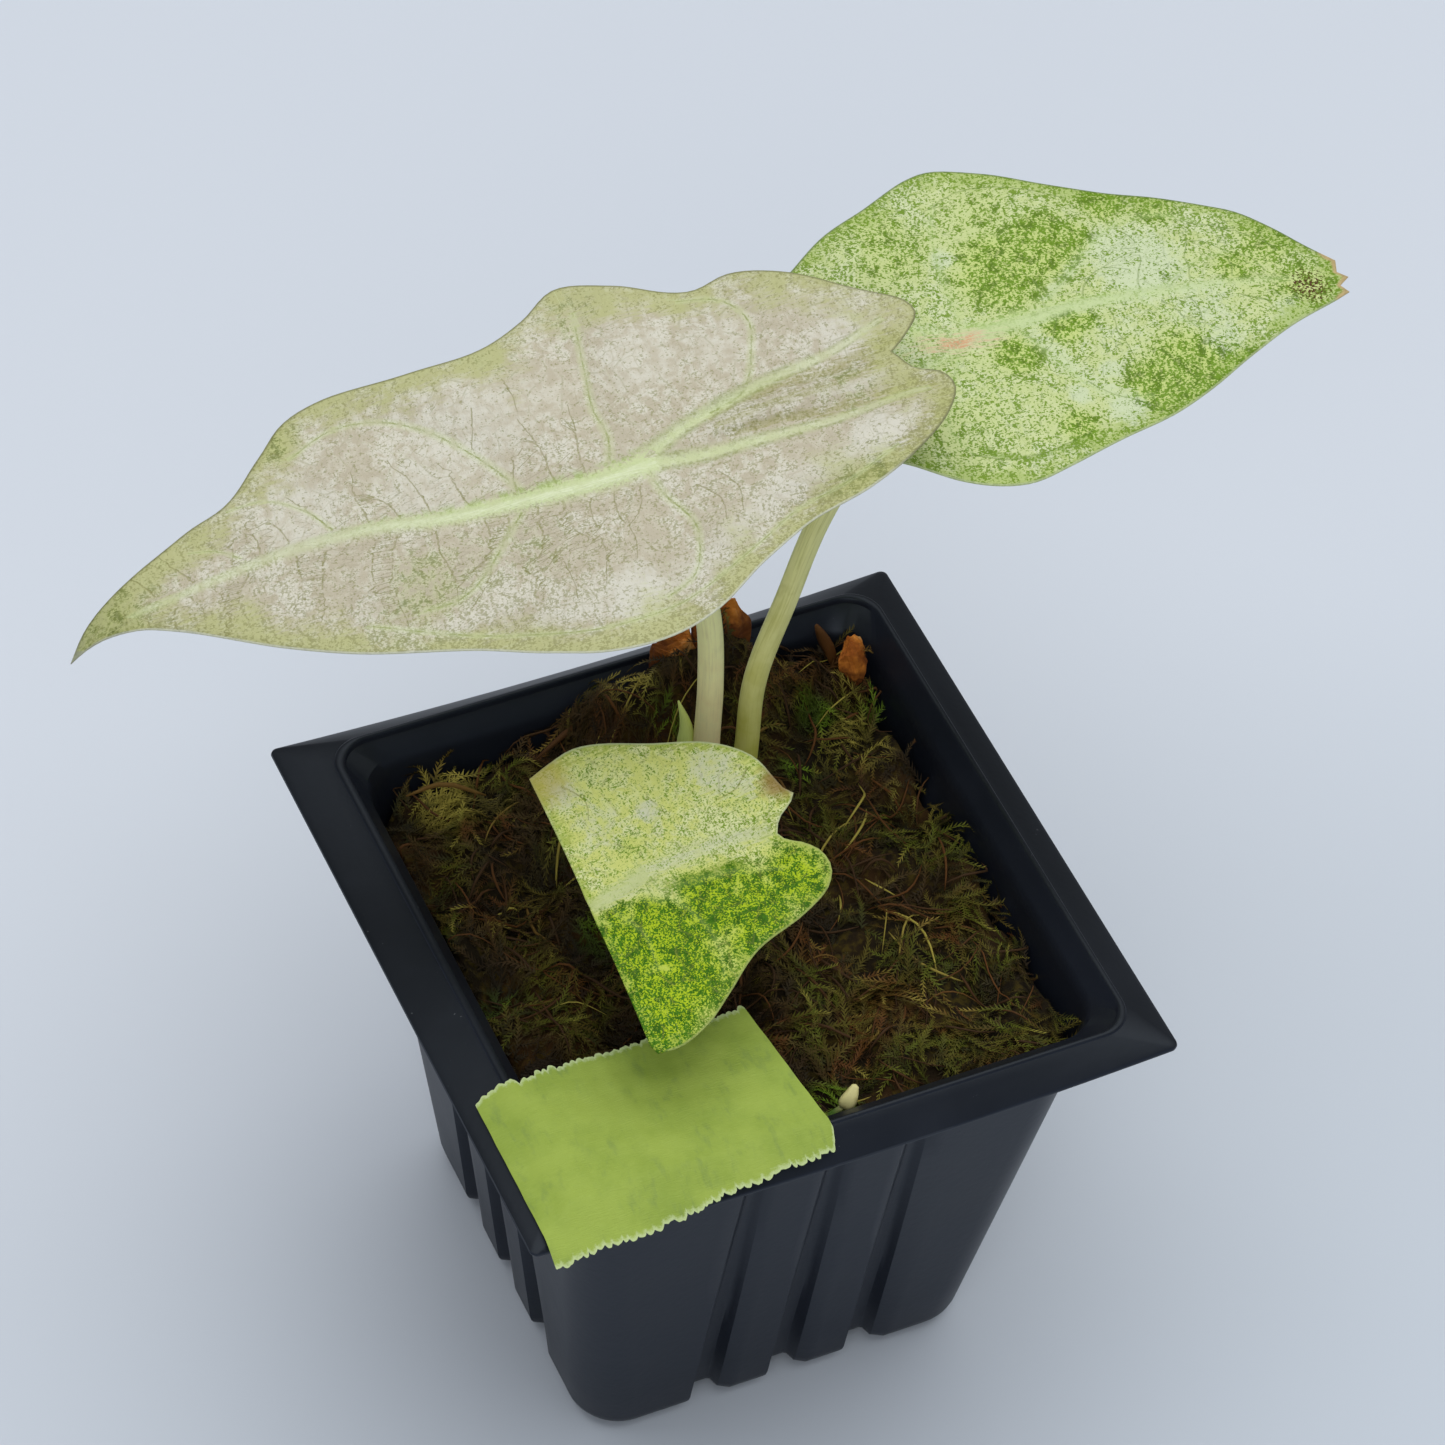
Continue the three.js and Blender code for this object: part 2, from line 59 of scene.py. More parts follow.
def smooth(x, low, high):
    t = np.clip((np.asarray(x, float) - low) / (high - low), 0, 1)
    return t * t * (3 - 2 * t)


# a smooth swelling, 1 high at 0
def swell(distance, width):
    return np.exp(-((distance / width) ** 2))


# the same seeded draw as the CAD source, so the moss mound has the same lumps
def seeded(seed):
    state = seed
    while True:
        state = (state * 16807) % 2147483647
        yield state / 2147483647


# centripetal curve through points, as a list of evenly spaced points
def smoothRun(points, spacing, keepEnd=False):
    pts = np.array(points, float)
    if len(pts) == 2:
        dense = pts[0] + (pts[1] - pts[0]) * np.linspace(0, 1, 40)[:, None]
    else:
        ext = np.vstack([2 * pts[0] - pts[1], pts, 2 * pts[-1] - pts[-2]])
        dense = []
        for i in range(len(pts) - 1):
            p0, p1, p2, p3 = ext[i : i + 4]
            t0 = 0
            t1 = t0 + np.linalg.norm(p1 - p0) ** 0.5
            t2 = t1 + np.linalg.norm(p2 - p1) ** 0.5
            t3 = t2 + np.linalg.norm(p3 - p2) ** 0.5
            t = np.linspace(t1, t2, 24, endpoint=i == len(pts) - 2)[:, None]
            a1 = (t1 - t) / (t1 - t0) * p0 + (t - t0) / (t1 - t0) * p1
            a2 = (t2 - t) / (t2 - t1) * p1 + (t - t1) / (t2 - t1) * p2
            a3 = (t3 - t) / (t3 - t2) * p2 + (t - t2) / (t3 - t2) * p3
            b1 = (t2 - t) / (t2 - t0) * a1 + (t - t0) / (t2 - t0) * a2
            b2 = (t3 - t) / (t3 - t1) * a2 + (t - t1) / (t3 - t1) * a3
            dense.append((t2 - t) / (t2 - t1) * b1 + (t - t1) / (t2 - t1) * b2)
        dense = np.vstack(dense)
    length = np.concatenate([[0], np.cumsum(np.linalg.norm(np.diff(dense, axis=0), axis=1))])
    count = max(1, round(length[-1] / spacing))
    at = np.linspace(0, length[-1], count + 1)
    run = np.stack([np.interp(at, length, dense[:, k]) for k in range(dense.shape[1])], axis=1)
    return run if keepEnd else run[:-1]


# a circle set on the first ring and extruded from ring to ring, with a pole to close each end;
# each vertex keeps its ring and its place on it
def skin(name, rings, startPole=None, endPole=None):
    deselect()
    bpy.ops.mesh.primitive_circle_add(vertices=len(rings[0]), radius=0.01, fill_type="NOTHING")
    piece = bpy.context.object
    piece.name = piece.data.name = name
    bpy.ops.object.mode_set(mode="EDIT")
    bpy.ops.mesh.select_mode(type="VERT")
    shape = bmesh.from_edit_mesh(piece.data)
    shape.verts.layers.int.new("place")
    shape.verts.layers.int.new("ring")
    place = shape.verts.layers.int["place"]
    for i, vert in enumerate(shape.verts):
        vert[place] = i

    def put(number, positions):
        made = bmesh.from_edit_mesh(piece.data)
        place = made.verts.layers.int["place"]
        ring = made.verts.layers.int["ring"]
        for vert in made.verts:
            if vert.select:
                vert[ring] = number
                vert.co = positions[vert[place]] if len(positions) > 1 else positions[0]
        bmesh.update_edit_mesh(piece.data)

    def close(number, pole):
        bpy.ops.mesh.extrude_region_move()
        bpy.ops.mesh.merge(type="CENTER")
        put(number, [Vector(pole) * mm])

    for number, ring in enumerate(rings):
        if number:
            bpy.ops.mesh.extrude_region_move()
        put(number, [Vector(p) * mm for p in ring])
    if endPole is not None:
        close(len(rings), endPole)
    if startPole is not None:
        bpy.ops.mesh.select_all(action="DESELECT")
        made = bmesh.from_edit_mesh(piece.data)
        ring = made.verts.layers.int["ring"]
        for vert in made.verts:
            vert.select = vert[ring] == 0
        made.select_flush(True)
        bmesh.update_edit_mesh(piece.data)
        close(-1, startPole)
    bpy.ops.mesh.select_all(action="SELECT")
    bpy.ops.mesh.normals_make_consistent(inside=False)
    bpy.ops.object.mode_set(mode="OBJECT")
    bpy.ops.object.shade_smooth()
    return piece


# the ring and the place on it of each vertex, which the mesh then forgets
def takeRings(piece):
    out = []
    for name in ("ring", "place"):
        values = np.zeros(len(piece.data.vertices), int)
        piece.data.attributes[name].data.foreach_get("value", values)
        piece.data.attributes.remove(piece.data.attributes[name])
        out.append(values)
    return out


# untwisted rings round a line, which start from a side of it and have one row of radii each
def tubeRings(line, side, radii):
    heading = np.gradient(line, axis=0)
    heading /= np.linalg.norm(heading, axis=1)[:, None]
    turns = roundTurns(radii.shape[1])[:, None]
    rings = []
    for centre, forward, radius in zip(line, heading, radii):
        side = side - forward * (side @ forward)
        side = side / np.linalg.norm(side)
        other = np.cross(forward, side)
        rings.append(centre + (side * np.cos(turns) + other * np.sin(turns)) * radius[:, None])
    return rings


def roundTurns(count):
    return np.arange(count) / count * 2 * math.pi


# numbers for the finishes to read, one a vertex under each name
def markPoints(piece, **marks):
    for name, values in marks.items():
        made = piece.data.attributes.new(name, "FLOAT", "POINT")
        made.data.foreach_set("value", np.asarray(values, np.float32))


def uvMark(piece, name, first, second):
    layer = piece.data.uv_layers.new(name=name)
    corner = np.zeros(len(piece.data.loops), int)
    piece.data.loops.foreach_get("vertex_index", corner)
    layer.data.foreach_set("uv", np.stack([first[corner], second[corner]], 1).astype(np.float32).ravel())


def points(piece):
    spots = np.zeros(len(piece.data.vertices) * 3)
    piece.data.vertices.foreach_get("co", spots)
    return spots.reshape(-1, 3)


def dress(piece, material, slot, *nodes):
    piece.data.materials.clear()
    piece.data.materials.append(material)
    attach(piece, "root")
    if nodes:
        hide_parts(*nodes)
    print("made", piece.name, len(piece.data.polygons), "faces")


# Helpers for finishes


# a colour of 0 to 255, as the linear one that Blender works in
def tint(colour):
    shares = [value / 255 for value in colour]
    return (*(s / 12.92 if s <= 0.04045 else ((s + 0.055) / 1.055) ** 2.4 for s in shares), 1)


# a socket that can be used in sums: each operator adds its Math node
class Sum:
    def __init__(self, paint, socket):
        self.paint = paint
        self.socket = socket

    def math(self, operation, first, second=None):
        values = [first] if second is None else [first, second]
        return self.paint.add("ShaderNodeMath", {"operation": operation}, values)

    def __add__(self, other):
        return self.math("ADD", self, other)

    def __radd__(self, other):
        return self.math("ADD", other, self)

    def __sub__(self, other):
        return self.math("SUBTRACT", self, other)

    def __rsub__(self, other):
        return self.math("SUBTRACT", other, self)

    def __mul__(self, other):
        return self.math("MULTIPLY", self, other)

    def __rmul__(self, other):
        return self.math("MULTIPLY", other, self)

    def __abs__(self):
        return self.math("ABSOLUTE", self)

    def over(self, other):
        return self.math("MAXIMUM", self, other)

    def under(self, other):
        return self.math("MINIMUM", self, other)

    # 0 below low, 1 above high, soft between; low may be above high
    def step(self, low, high):
        ends = {"Value": self, "From Min": low, "From Max": high, "To Min": 0.0, "To Max": 1.0}
        return self.paint.add("ShaderNodeMapRange", {"interpolation_type": "SMOOTHSTEP"}, ends)


class Paint:
    def __init__(self, name):
        self.material = bpy.data.materials.new(name)
        self.material.use_nodes = True
        self.tree = self.material.node_tree
        self.tree.nodes.clear()

    # any node: its settings first, then the values or links of its sockets
    def add(self, kind, settings=None, inputs=None, out=0):
        made = self.tree.nodes.new(kind)
        for key, value in (settings or {}).items():
            setattr(made, key, value)
        pairs = inputs.items() if isinstance(inputs, dict) else enumerate(inputs or [])
        for key, value in pairs:
            if isinstance(value, Sum):
                self.tree.links.new(value.socket, made.inputs[key])
            else:
                made.inputs[key].default_value = value
        return Sum(self, made.outputs[out])

    # a colour is a link, or a tuple of 0 to 255
    def mix(self, factor, first, second):
        settings = {"data_type": "RGBA", "blend_type": "MIX", "clamp_factor": True}
        first, second = (c if isinstance(c, Sum) else tint(c) for c in (first, second))
        return self.add("ShaderNodeMix", settings, {0: factor, 6: first, 7: second}, out=2)

    # coats over a ground, each with its mask and its colour
    def coats(self, ground, *coats):
        for mask, colour in coats:
            ground = self.mix(mask, ground, colour)
        return ground

    def where(self):
        return self.add("ShaderNodeTexCoord", out="Object")

    def uv(self, name):
        return self.add("ShaderNodeUVMap", {"uv_map": name})

    def mark(self, name):
        return self.add("ShaderNodeAttribute", {"attribute_name": name}, out="Fac")

    def axis(self, vector, letter):
        return self.add("ShaderNodeSeparateXYZ", {}, [vector], out=letter)

    def scaled(self, vector, x, y, z=1.0):
        return self.add("ShaderNodeVectorMath", {"operation": "MULTIPLY"}, {0: vector, 1: (x, y, z)})

    def noise(self, vector, scale, detail=3.0, rough=0.55, out="Fac", space="3D"):
        inputs = {"Vector": vector, "Scale": scale, "Detail": detail, "Roughness": rough}
        return self.add("ShaderNodeTexNoise", {"noise_dimensions": space}, inputs, out=out)

    def cells(self, vector, scale, feature="F1", space="3D"):
        inputs = {"Vector": vector, "Scale": scale}
        return self.add("ShaderNodeTexVoronoi", {"feature": feature, "voronoi_dimensions": space}, inputs)

    def bump(self, height, distance, strength=0.5):
        return self.add("ShaderNodeBump", {}, {"Height": height, "Distance": distance, "Strength": strength})

    # the finished material; through is the share of light that thin tissue lets pass
    def finish(self, colour, roughness, bump=None, gloss=0.5, sheen=(1, 1, 1), through=0):
        inputs = {"Base Color": colour, "Roughness": roughness}
        inputs.update({"Specular IOR Level": gloss, "Specular Tint": (*sheen, 1)})
        if bump:
            inputs["Normal"] = bump
        surface = self.add("ShaderNodeBsdfPrincipled", {}, inputs)
        if through:
            tissue = self.add("ShaderNodeBsdfTranslucent", {}, {"Color": colour})
            surface = self.add("ShaderNodeMixShader", {}, [through, surface, tissue])
        end = self.tree.nodes.new("ShaderNodeOutputMaterial")
        self.tree.links.new(surface.socket, end.inputs["Surface"])
        return self.material


# Pot
pot = {
    "rimZ": 70.0,
    "rimHalf": 45.0,
    "lipZ": 72.0,
    "lipHalf": (38.8, 40.7),
    "lipCentre": 1.2,
    "baseCentre": 0.3,
    "topHalf": (37.6, 39.0),
    "baseHalf": (28.2, 28.8),
    "corner": 7.0,
    "wall": 1.0,
    "flangeThick": 0.8,
    "sag": 1.5,
    "fillet": 3.4,
    "flutePitch": 11.4,
    "fluteTop": (3.4, 0.6),  # width, depth
    "fluteBase": (5.0, 2.6),
    "fluteEnds": (60, 67),
    "fluteSoftness": (0.4, 0.95),  # base, top
    "outerHeights": (10, 18, 26, 34, 42, 50, 57, 60, 61.5, 63, 64.5, 66, 67, 68.4),
    "innerHeights": (67, 66, 64.5, 63, 61.5, 60, 57, 50, 34, 18, 8),
    # rings of the flange: share of the way in to the lip, height, corner radius, share of the sag
    "flangeUnder": [(1.14, 69.9, 6.4, 0), (1.02, 70.25, 5.6, 0), (0.86, 70.6, 4.4, 0), (0.4, 69.9, 2.4, 0.6),
                    (0.06, 69.3, 1.1, 1)],
    "flangeOver": [(0.12, 70.2, 1.3, 0.88), (0.4, 70.8, 2.4, 0.55), (0.66, 71.3, 3.4, 0.2),
                   (0.8, 71.55, 4.1, 0)],
    # the raised lip curls over: share where it starts, its reach, height, rise, corner radius
    "lipCurl": (0.86, 0.09, 71.7, 0.35, 4.5),
    "lipInside": (1.07, 71.2, 4.2),
    "neck": [(69.6, 0.6), (68.2, 1.0)],  # height, inset
    "drainAt": 16.0,
    "drainRadius": 3.4,
    "black": (5, 6, 9),
    "grey": (14, 16, 21),
    # painted reflection: the walls' lighter blue-grey stands in for the pale floor reflected in them
    "wallReflectionGrey": (29, 33, 43),
    "smear": (66, 70, 80),
    "dust": (120, 122, 126),
    "sheen": (0.72, 0.84, 1.0),
}


def arc(radius, middle, start, share):
    turn = start + share * math.pi / 2
    return middle[0] + radius * math.cos(turn), middle[1] + radius * math.sin(turn)


# one ring round the pot: four corner arcs, each followed by a side with its three flutes
def potRing(z, centreX, half, radius, flute=(4, 0), sag=0.0, softness=0.5):
    halfX, halfY = half
    out = []
    width, depth = flute
    for side in range(4):
        across, reach = (halfX, halfY) if side % 2 == 0 else (halfY, halfX)
        local = [arc(radius, (radius - across, radius - reach), math.pi, i / 12) for i in range(13)]
        anchors = [radius - across]
        for middle in (-pot["flutePitch"], 0, pot["flutePitch"]):
            anchors += [middle - width / 2, middle + width / 2]
        anchors.append(across - radius)
        for gap in range(len(anchors) - 1):
            inFlute = gap % 2 == 1
            steps, skipped = (12, 0) if inFlute else (5, 1)
            for i in range(steps):
                t = (i + skipped) / (steps + skipped)
                dip = depth * float(smooth(1 - abs(2 * t - 1), 0.0, softness)) if inFlute else 0
                local.append((lerp(anchors[gap], anchors[gap + 1], t), dip - reach))
        turn = side * math.pi / 2
        for x, y in local:
            px = x * math.cos(turn) - y * math.sin(turn)
            py = x * math.sin(turn) + y * math.cos(turn)
            bow = sag * (1 - (px / halfX) ** 2) * (py / halfY) ** 4
            out.append((px + centreX, py, z - bow))
    return out


def bodyRing(z, inset):
    up = z / pot["rimZ"]
    fade = 1 - float(smooth(z, *pot["fluteEnds"]))
    half = [lerp(low, high, up) - inset for low, high in zip(pot["baseHalf"], pot["topHalf"])]
    width, depth = (lerp(low, high, up) for low, high in zip(pot["fluteBase"], pot["fluteTop"]))
    centre = lerp(pot["baseCentre"], pot["lipCentre"], up)
    corner = max(pot["corner"] - inset, 2)
    softness = lerp(*pot["fluteSoftness"], up)
    return potRing(z, centre, half, corner, (width + inset, depth * fade), 0.0, softness)


def flangeRing(share, z, radius, sag=0.0):
    half = [lerp(pot["rimHalf"], lip, share) for lip in pot["lipHalf"]]
    centre = lerp(0, pot["lipCentre"], min(max(share, 0), 1))
    return potRing(z, centre, half, radius, (4, 0), sag * pot["sag"])


def makePot():
    wall, fillet = pot["wall"], pot["fillet"]
    rings = [bodyRing(0, fillet)]
    for i in range(1, 7):  # rounded foot
        turn = i / 6 * math.pi / 2
        rings.append(bodyRing(fillet * (1 - math.cos(turn)), fillet * (1 - math.sin(turn))))
    rings += [bodyRing(z, 0) for z in pot["outerHeights"]]
    rings.append(bodyRing(pot["rimZ"] - pot["flangeThick"], 0.05))
    rings += [flangeRing(*ring) for ring in pot["flangeUnder"]]
    for i in range(5):  # rounded outer edge
        turn = i / 4 * math.pi
        z = pot["rimZ"] - pot["flangeThick"] * (0.5 + 0.5 * math.cos(turn))
        rings.append(flangeRing(0.045 * (1 - math.sin(turn)), z, 1.0, 1))
    rings += [flangeRing(*ring) for ring in pot["flangeOver"]]
    share, reach, z, rise, corner = pot["lipCurl"]
    for i in range(7):
        turn = i / 6 * math.pi * 0.9
        rings.append(flangeRing(share + reach * (1 - math.cos(turn)), z + rise * math.sin(turn), corner))
    rings.append(flangeRing(*pot["lipInside"]))
    rings += [bodyRing(z, inset) for z, inset in pot["neck"]]
    rings += [bodyRing(z, wall) for z in (*pot["innerHeights"], fillet + wall)]
    rings += [bodyRing(wall * 1.9, wall * 2), bodyRing(wall, fillet + wall)]
    piece = skin("potBody", rings, (pot["baseCentre"], 0, 0), (pot["baseCentre"], 0, wall))
    cutDrains(piece)
    piece.select_set(True)
    bpy.ops.object.shade_smooth_by_angle(angle=math.radians(38))
    return piece


# drain holes: one ring of cutters through the base
def cutDrains(piece):
    steps = (-pot["drainAt"] * mm, 0, pot["drainAt"] * mm)
    cutters = []
    for spot in [(x, y, 0) for x in steps for y in steps if x or y]:
        deselect()
        radius = pot["drainRadius"] * mm
        bpy.ops.mesh.primitive_cylinder_add(vertices=32, radius=radius, depth=4 * mm, location=spot)
        cutters.append(bpy.context.object)
    deselect()
    for cutter in cutters:
        cutter.select_set(True)
    bpy.context.view_layer.objects.active = cutters[0]
    bpy.ops.object.join()
    cutter = bpy.context.object
    deselect()
    bpy.context.view_layer.objects.active = piece
    drains = piece.modifiers.new("drains", "BOOLEAN")
    drains.operation = "DIFFERENCE"
    drains.solver = "MANIFOLD"
    drains.object = cutter
    bpy.ops.object.modifier_apply(modifier=drains.name)
    bpy.data.objects.remove(cutter)


def potPaint():
    paint = Paint("potPlastic")
    where = paint.where()
    cloud = paint.noise(where, 45, 4)
    fine = paint.noise(where, 900, 2)
    flat = paint.axis(paint.add("ShaderNodeNewGeometry", out="Normal"), "Z").step(0.5, 0.95)
    specks = paint.noise(where, 1500, 2, 0.6).step(0.73, 0.77) * paint.noise(where, 130, 2).step(0.5, 0.62)
    smear = paint.noise(paint.scaled(where, 60, 60, 14), 1.0, 3).step(0.55, 0.8)
    base = paint.coats(
        paint.mix(cloud.step(0.35, 0.75), pot["black"], pot["grey"]),
        # painted reflection: faces that don't look up get the lighter blue-grey of the floor reflected in
        # the walls
        ((1 - flat) * (0.45 + cloud * 0.6), pot["wallReflectionGrey"]),
        (smear * 0.1, pot["smear"]),
        ((specks * (flat * 0.5 + 0.12)).under(0.8), pot["dust"]),
    )
    rough = 0.32 + cloud * 0.16 + specks * 0.3 + flat * 0.05
    return paint.finish(base, rough, paint.bump(fine, 0.00004), 0.3, pot["sheen"])


# Bed of moss
moss = {
    "edgeZ": 64.5,
    "crownZ": 67.5,
    "underZ": 58.4,
    "corm": (3.2, 9.4),
    "reach": 42,  # from the corm to the lowest edge
    "bank": [(-10, 0, 8.5), (19, 28, -4.5)],  # rises and falls along X, at the back
    "bankY": (22, 34),
    "heap": ((12.5, 35), (7.5, 5.5), 6.8),  # centre, half widths, height
    "bedHalf": (35.2, 36.6),
    "bedCorner": 5.5,
    "wallHalf": (35.4, 37),
    "shares": (1.0, 0.985, 0.965, 0.94, 0.91, 0.87, 0.83, 0.78, 0.73, 0.67, 0.61, 0.55, 0.48, 0.41, 0.34,
               0.27, 0.2, 0.13, 0.07),  # rings of the mound, edge to middle
    "edgeFrom": (62, 0.9),  # the mound's edge follows the pot at this height, this far off its wall
    "footShare": 0.975,
    "groundBelow": 1.2,  # the mound lies this far under the sprigs' bed
    "grainHeight": 0.5,
    "edgeDrop": 1.6,
    "lumpHeight": 0.42,
    "hollowDepth": 1.7,
    "sprigs": 3950,
    "sprigArea": ((-34.5, 36.8), (-36.4, 36.4)),
    "sprigMargin": 0.5,
    "gaps": (-0.42, 0.75),  # between clumps: the clump value that starts them, share of sprigs left out
    "leafPairs": 12,
    "sprigLength": (2.8, 6.6),
    "sprigLift": (-0.2, 0.85),
    "sprigCurl": (-1.5, 1.5),
    "sprigDroop": (0.3, 1.4),
    "sprigSink": 0.9,
    "clumpLift": 1.3,
    "threads": 300,
    "threadArea": ((-33, 35.5), (-35, 35)),
    "threadMargin": 2.5,
    "threadSink": 0.5,
    "threadLength": (5, 16),
    "threadBend": (-1.6, 1.6),
    "threadArch": (0.2, 1.9),
    "threadRadius": (0.09, 0.24),
    "olive": (78, 66, 14),
    "green": (80, 87, 12),
    "straw": (156, 144, 62),
    "brown": (56, 36, 12),
    "rust": (86, 52, 14),
    # dark: the ground's own dark, and also the painted shade on sprigs in the hollows and deep in the bed
    "dark": (24, 18, 6),
    "fresh": (98, 132, 22),
    # dry sticks: path, radius, colour from brown at 0 to straw at 1
    "sticks": [
        ([(-12, 33, 66.5), (-4, 35, 69.6), (6, 35.8, 72.6)], 0.6, 0.5),
        ([(33, 33, 65), (31.8, 34.6, 69.6), (30, 35.2, 74.4)], 1.0, 0.86),
        ([(-20, 30, 66.2), (-25, 33, 67.4), (-30, 33.6, 66.4)], 0.45, 0.9),
    ],
    # spots of another colour: place, radius
    "freshSpots": [((26.4, 26.8), 2.4), ((5.2, 28.6), 1.8), ((20.6, 19.6), 2), ((-15.8, 2.1), 2.6),
                   ((-31.4, -1.4), 2.6), ((36, 26), 2), ((2, -33), 3.5)],
    "strawSpots": [((2, 34), 3), ((-23.9, 32), 5), ((30.5, 20.2), 4), ((-20, 29), 2.5), ((33, 10), 3)],
    "rustSpots": [((-24, 12.2), 5), ((35, 34), 6), ((24, 33), 5), ((-10, -18), 5), ((14, -22), 5)],
}

mossDraw = seeded(9)
mossWaves = []
for _ in range(14):
    turn = next(mossDraw) * math.pi * 2
    length = 7 + 11 * next(mossDraw)
    mossWaves.append((math.cos(turn) / length, math.sin(turn) / length, next(mossDraw) * 6.28, length / 18))


def cloudOver(x, y, size, phase):
    first = np.sin(x / size + phase + 1.6 * np.sin(y / size * 0.8 + phase))
    return 0.5 + 0.5 * first * np.sin(y / size * 0.9 + 1.9 * np.sin(x / size * 0.7 + phase))


# 1 in the hollows between the heaps of moss
def hollows(x, y):
    return 1 - smooth(cloudOver(x, y, 4.1, 4.2), 0.1, 0.36)


def mossHeight(x, y):
    away = np.clip(np.hypot(x - moss["corm"][0], y - moss["corm"][1]) / moss["reach"], 0, 1)
    lumps = sum(size * np.sin((wx * x + wy * y) * 6.28 + phase) for wx, wy, phase, size in mossWaves)
    bank = smooth(y, *moss["bankY"]) * sum(rise * smooth(x, low, high) for low, high, rise in moss["bank"])
    (heapX, heapY), (wideX, wideY), height = moss["heap"]
    heap = height * swell(x - heapX, wideX) * swell(y - heapY, wideY)
    bed = lerp(moss["crownZ"], moss["edgeZ"], away) + lumps * moss["lumpHeight"]
    return bed + bank + heap - moss["hollowDepth"] * hollows(x, y)


def insideMoss(x, y, margin):
    radius = moss["bedCorner"]
    halfX, halfY = (half - margin - radius for half in moss["bedHalf"])
    dx = np.maximum(np.abs(x - pot["lipCentre"]) - halfX, 0)
    dy = np.maximum(np.abs(y) - halfY, 0)
    return np.hypot(dx, dy) < radius


# no moss goes through the pot's wall
def insideWall(x, y):
    halfX, halfY = moss["wallHalf"]
    return np.clip(x, pot["lipCentre"] - halfX, pot["lipCentre"] + halfX), np.clip(y, -halfY, halfY)


def makeMossMound():
    centre = pot["lipCentre"]
    height, off = moss["edgeFrom"]
    edge = np.array(bodyRing(height, pot["wall"] + off))
    rings = [[(x * moss["footShare"], y * moss["footShare"], moss["underZ"]) for x, y, z in edge]]
    for share in moss["shares"]:
        x = centre + (edge[:, 0] - centre) * share
        y = edge[:, 1] * share
        z = mossHeight(x, y) - moss["groundBelow"] - moss["edgeDrop"] * (share == 1)
        grain = np.sin(x * 1.7 + 2 * np.sin(y * 0.9)) * np.sin(y * 1.9 + 1.5 * np.sin(x * 1.1))
        rings.append(list(zip(x, y, z + moss["grainHeight"] * grain)))
    crown = float(mossHeight(centre, 0)) - moss["groundBelow"]
    return skin("mossMound", rings, (centre, 0, moss["underZ"]), (centre, 0, crown))


# one moss sprig: a thin stem with two rows of small pointed leaves, modelled flat along +X, 1 long
def sprigPattern():
    verts, faces = [], []
    steps, pairs = 4, moss["leafPairs"]
    for i in range(steps + 1):
        x = i / steps
        w = 0.02 * (1 - 0.6 * x)
        verts += [(x, -w, 0), (x, w, 0), (x, 0, w * 1.6)]
    for i in range(steps):
        a, b = i * 3, i * 3 + 3
        faces += [(a, b, b + 2, a + 2), (a + 2, b + 2, b + 1, a + 1), (a + 1, b + 1, b, a)]
    faces += [(0, 2, 1), (steps * 3, steps * 3 + 1, steps * 3 + 2)]
    for i in range(pairs):
        for side in (-1, 1):
            x = (i + 0.5 + 0.25 * side) / pairs
            reach = 0.1 * (1 - 0.6 * x) * (1 if i % 3 else 1.5)
            start = len(verts)
            root, heel = (x - 0.025, 0.008 * side, 0.012), (x + 0.03, 0.008 * side, 0.02)
            verts += [root, heel, (x + 0.08, reach * side, 0.05)]
            faces.append((start, start + 1, start + 2) if side > 0 else (start + 1, start, start + 2))
    return np.array(verts), faces


# 1 in the middle of a spot, times its strength where it has one, and 0 well outside
def nearSpots(x, y, spots, inner=0.5, outer=1.5):
    value = np.zeros(x.shape)
    for (spotX, spotY), radius, *strength in spots:
        fall = 1 - smooth(np.hypot(x - spotX, y - spotY), radius * inner, radius * outer)
        value = np.maximum(value, fall * (strength[0] if strength else 1))
    return value


# a sprig of the pattern, bent and turned into its place
def placeSprig(pattern, x, y, clump, rng):
    length = rng.uniform(*moss["sprigLength"]) * (1 + 0.25 * clump)
    turn = 2.2 * math.sin(x * 0.13 + 1) + 2.2 * math.cos(y * 0.15) + rng.normal(0, 1.1)
    lift, curl, droop = (rng.uniform(*moss[name]) for name in ("sprigLift", "sprigCurl", "sprigDroop"))
    along, beside, up = pattern.T
    yaw = curl * np.maximum(along, 0) ** 1.6
    px = (along * np.cos(yaw * 0.5) - beside * np.sin(yaw)) * length
    py = (along * np.sin(yaw * 0.5) + beside * np.cos(yaw)) * length
    pz = (up + lift * along - droop * 0.5 * along**2) * length
    gx = x + px * math.cos(turn) - py * math.sin(turn)
    gy = y + px * math.sin(turn) + py * math.cos(turn)
    gx, gy = insideWall(gx, gy)
    gz = mossHeight(gx, gy) + pz - moss["sprigSink"] + moss["clumpLift"] * clump + rng.uniform(-0.5, 0.5)
    return np.stack([gx, gy, gz], 1)


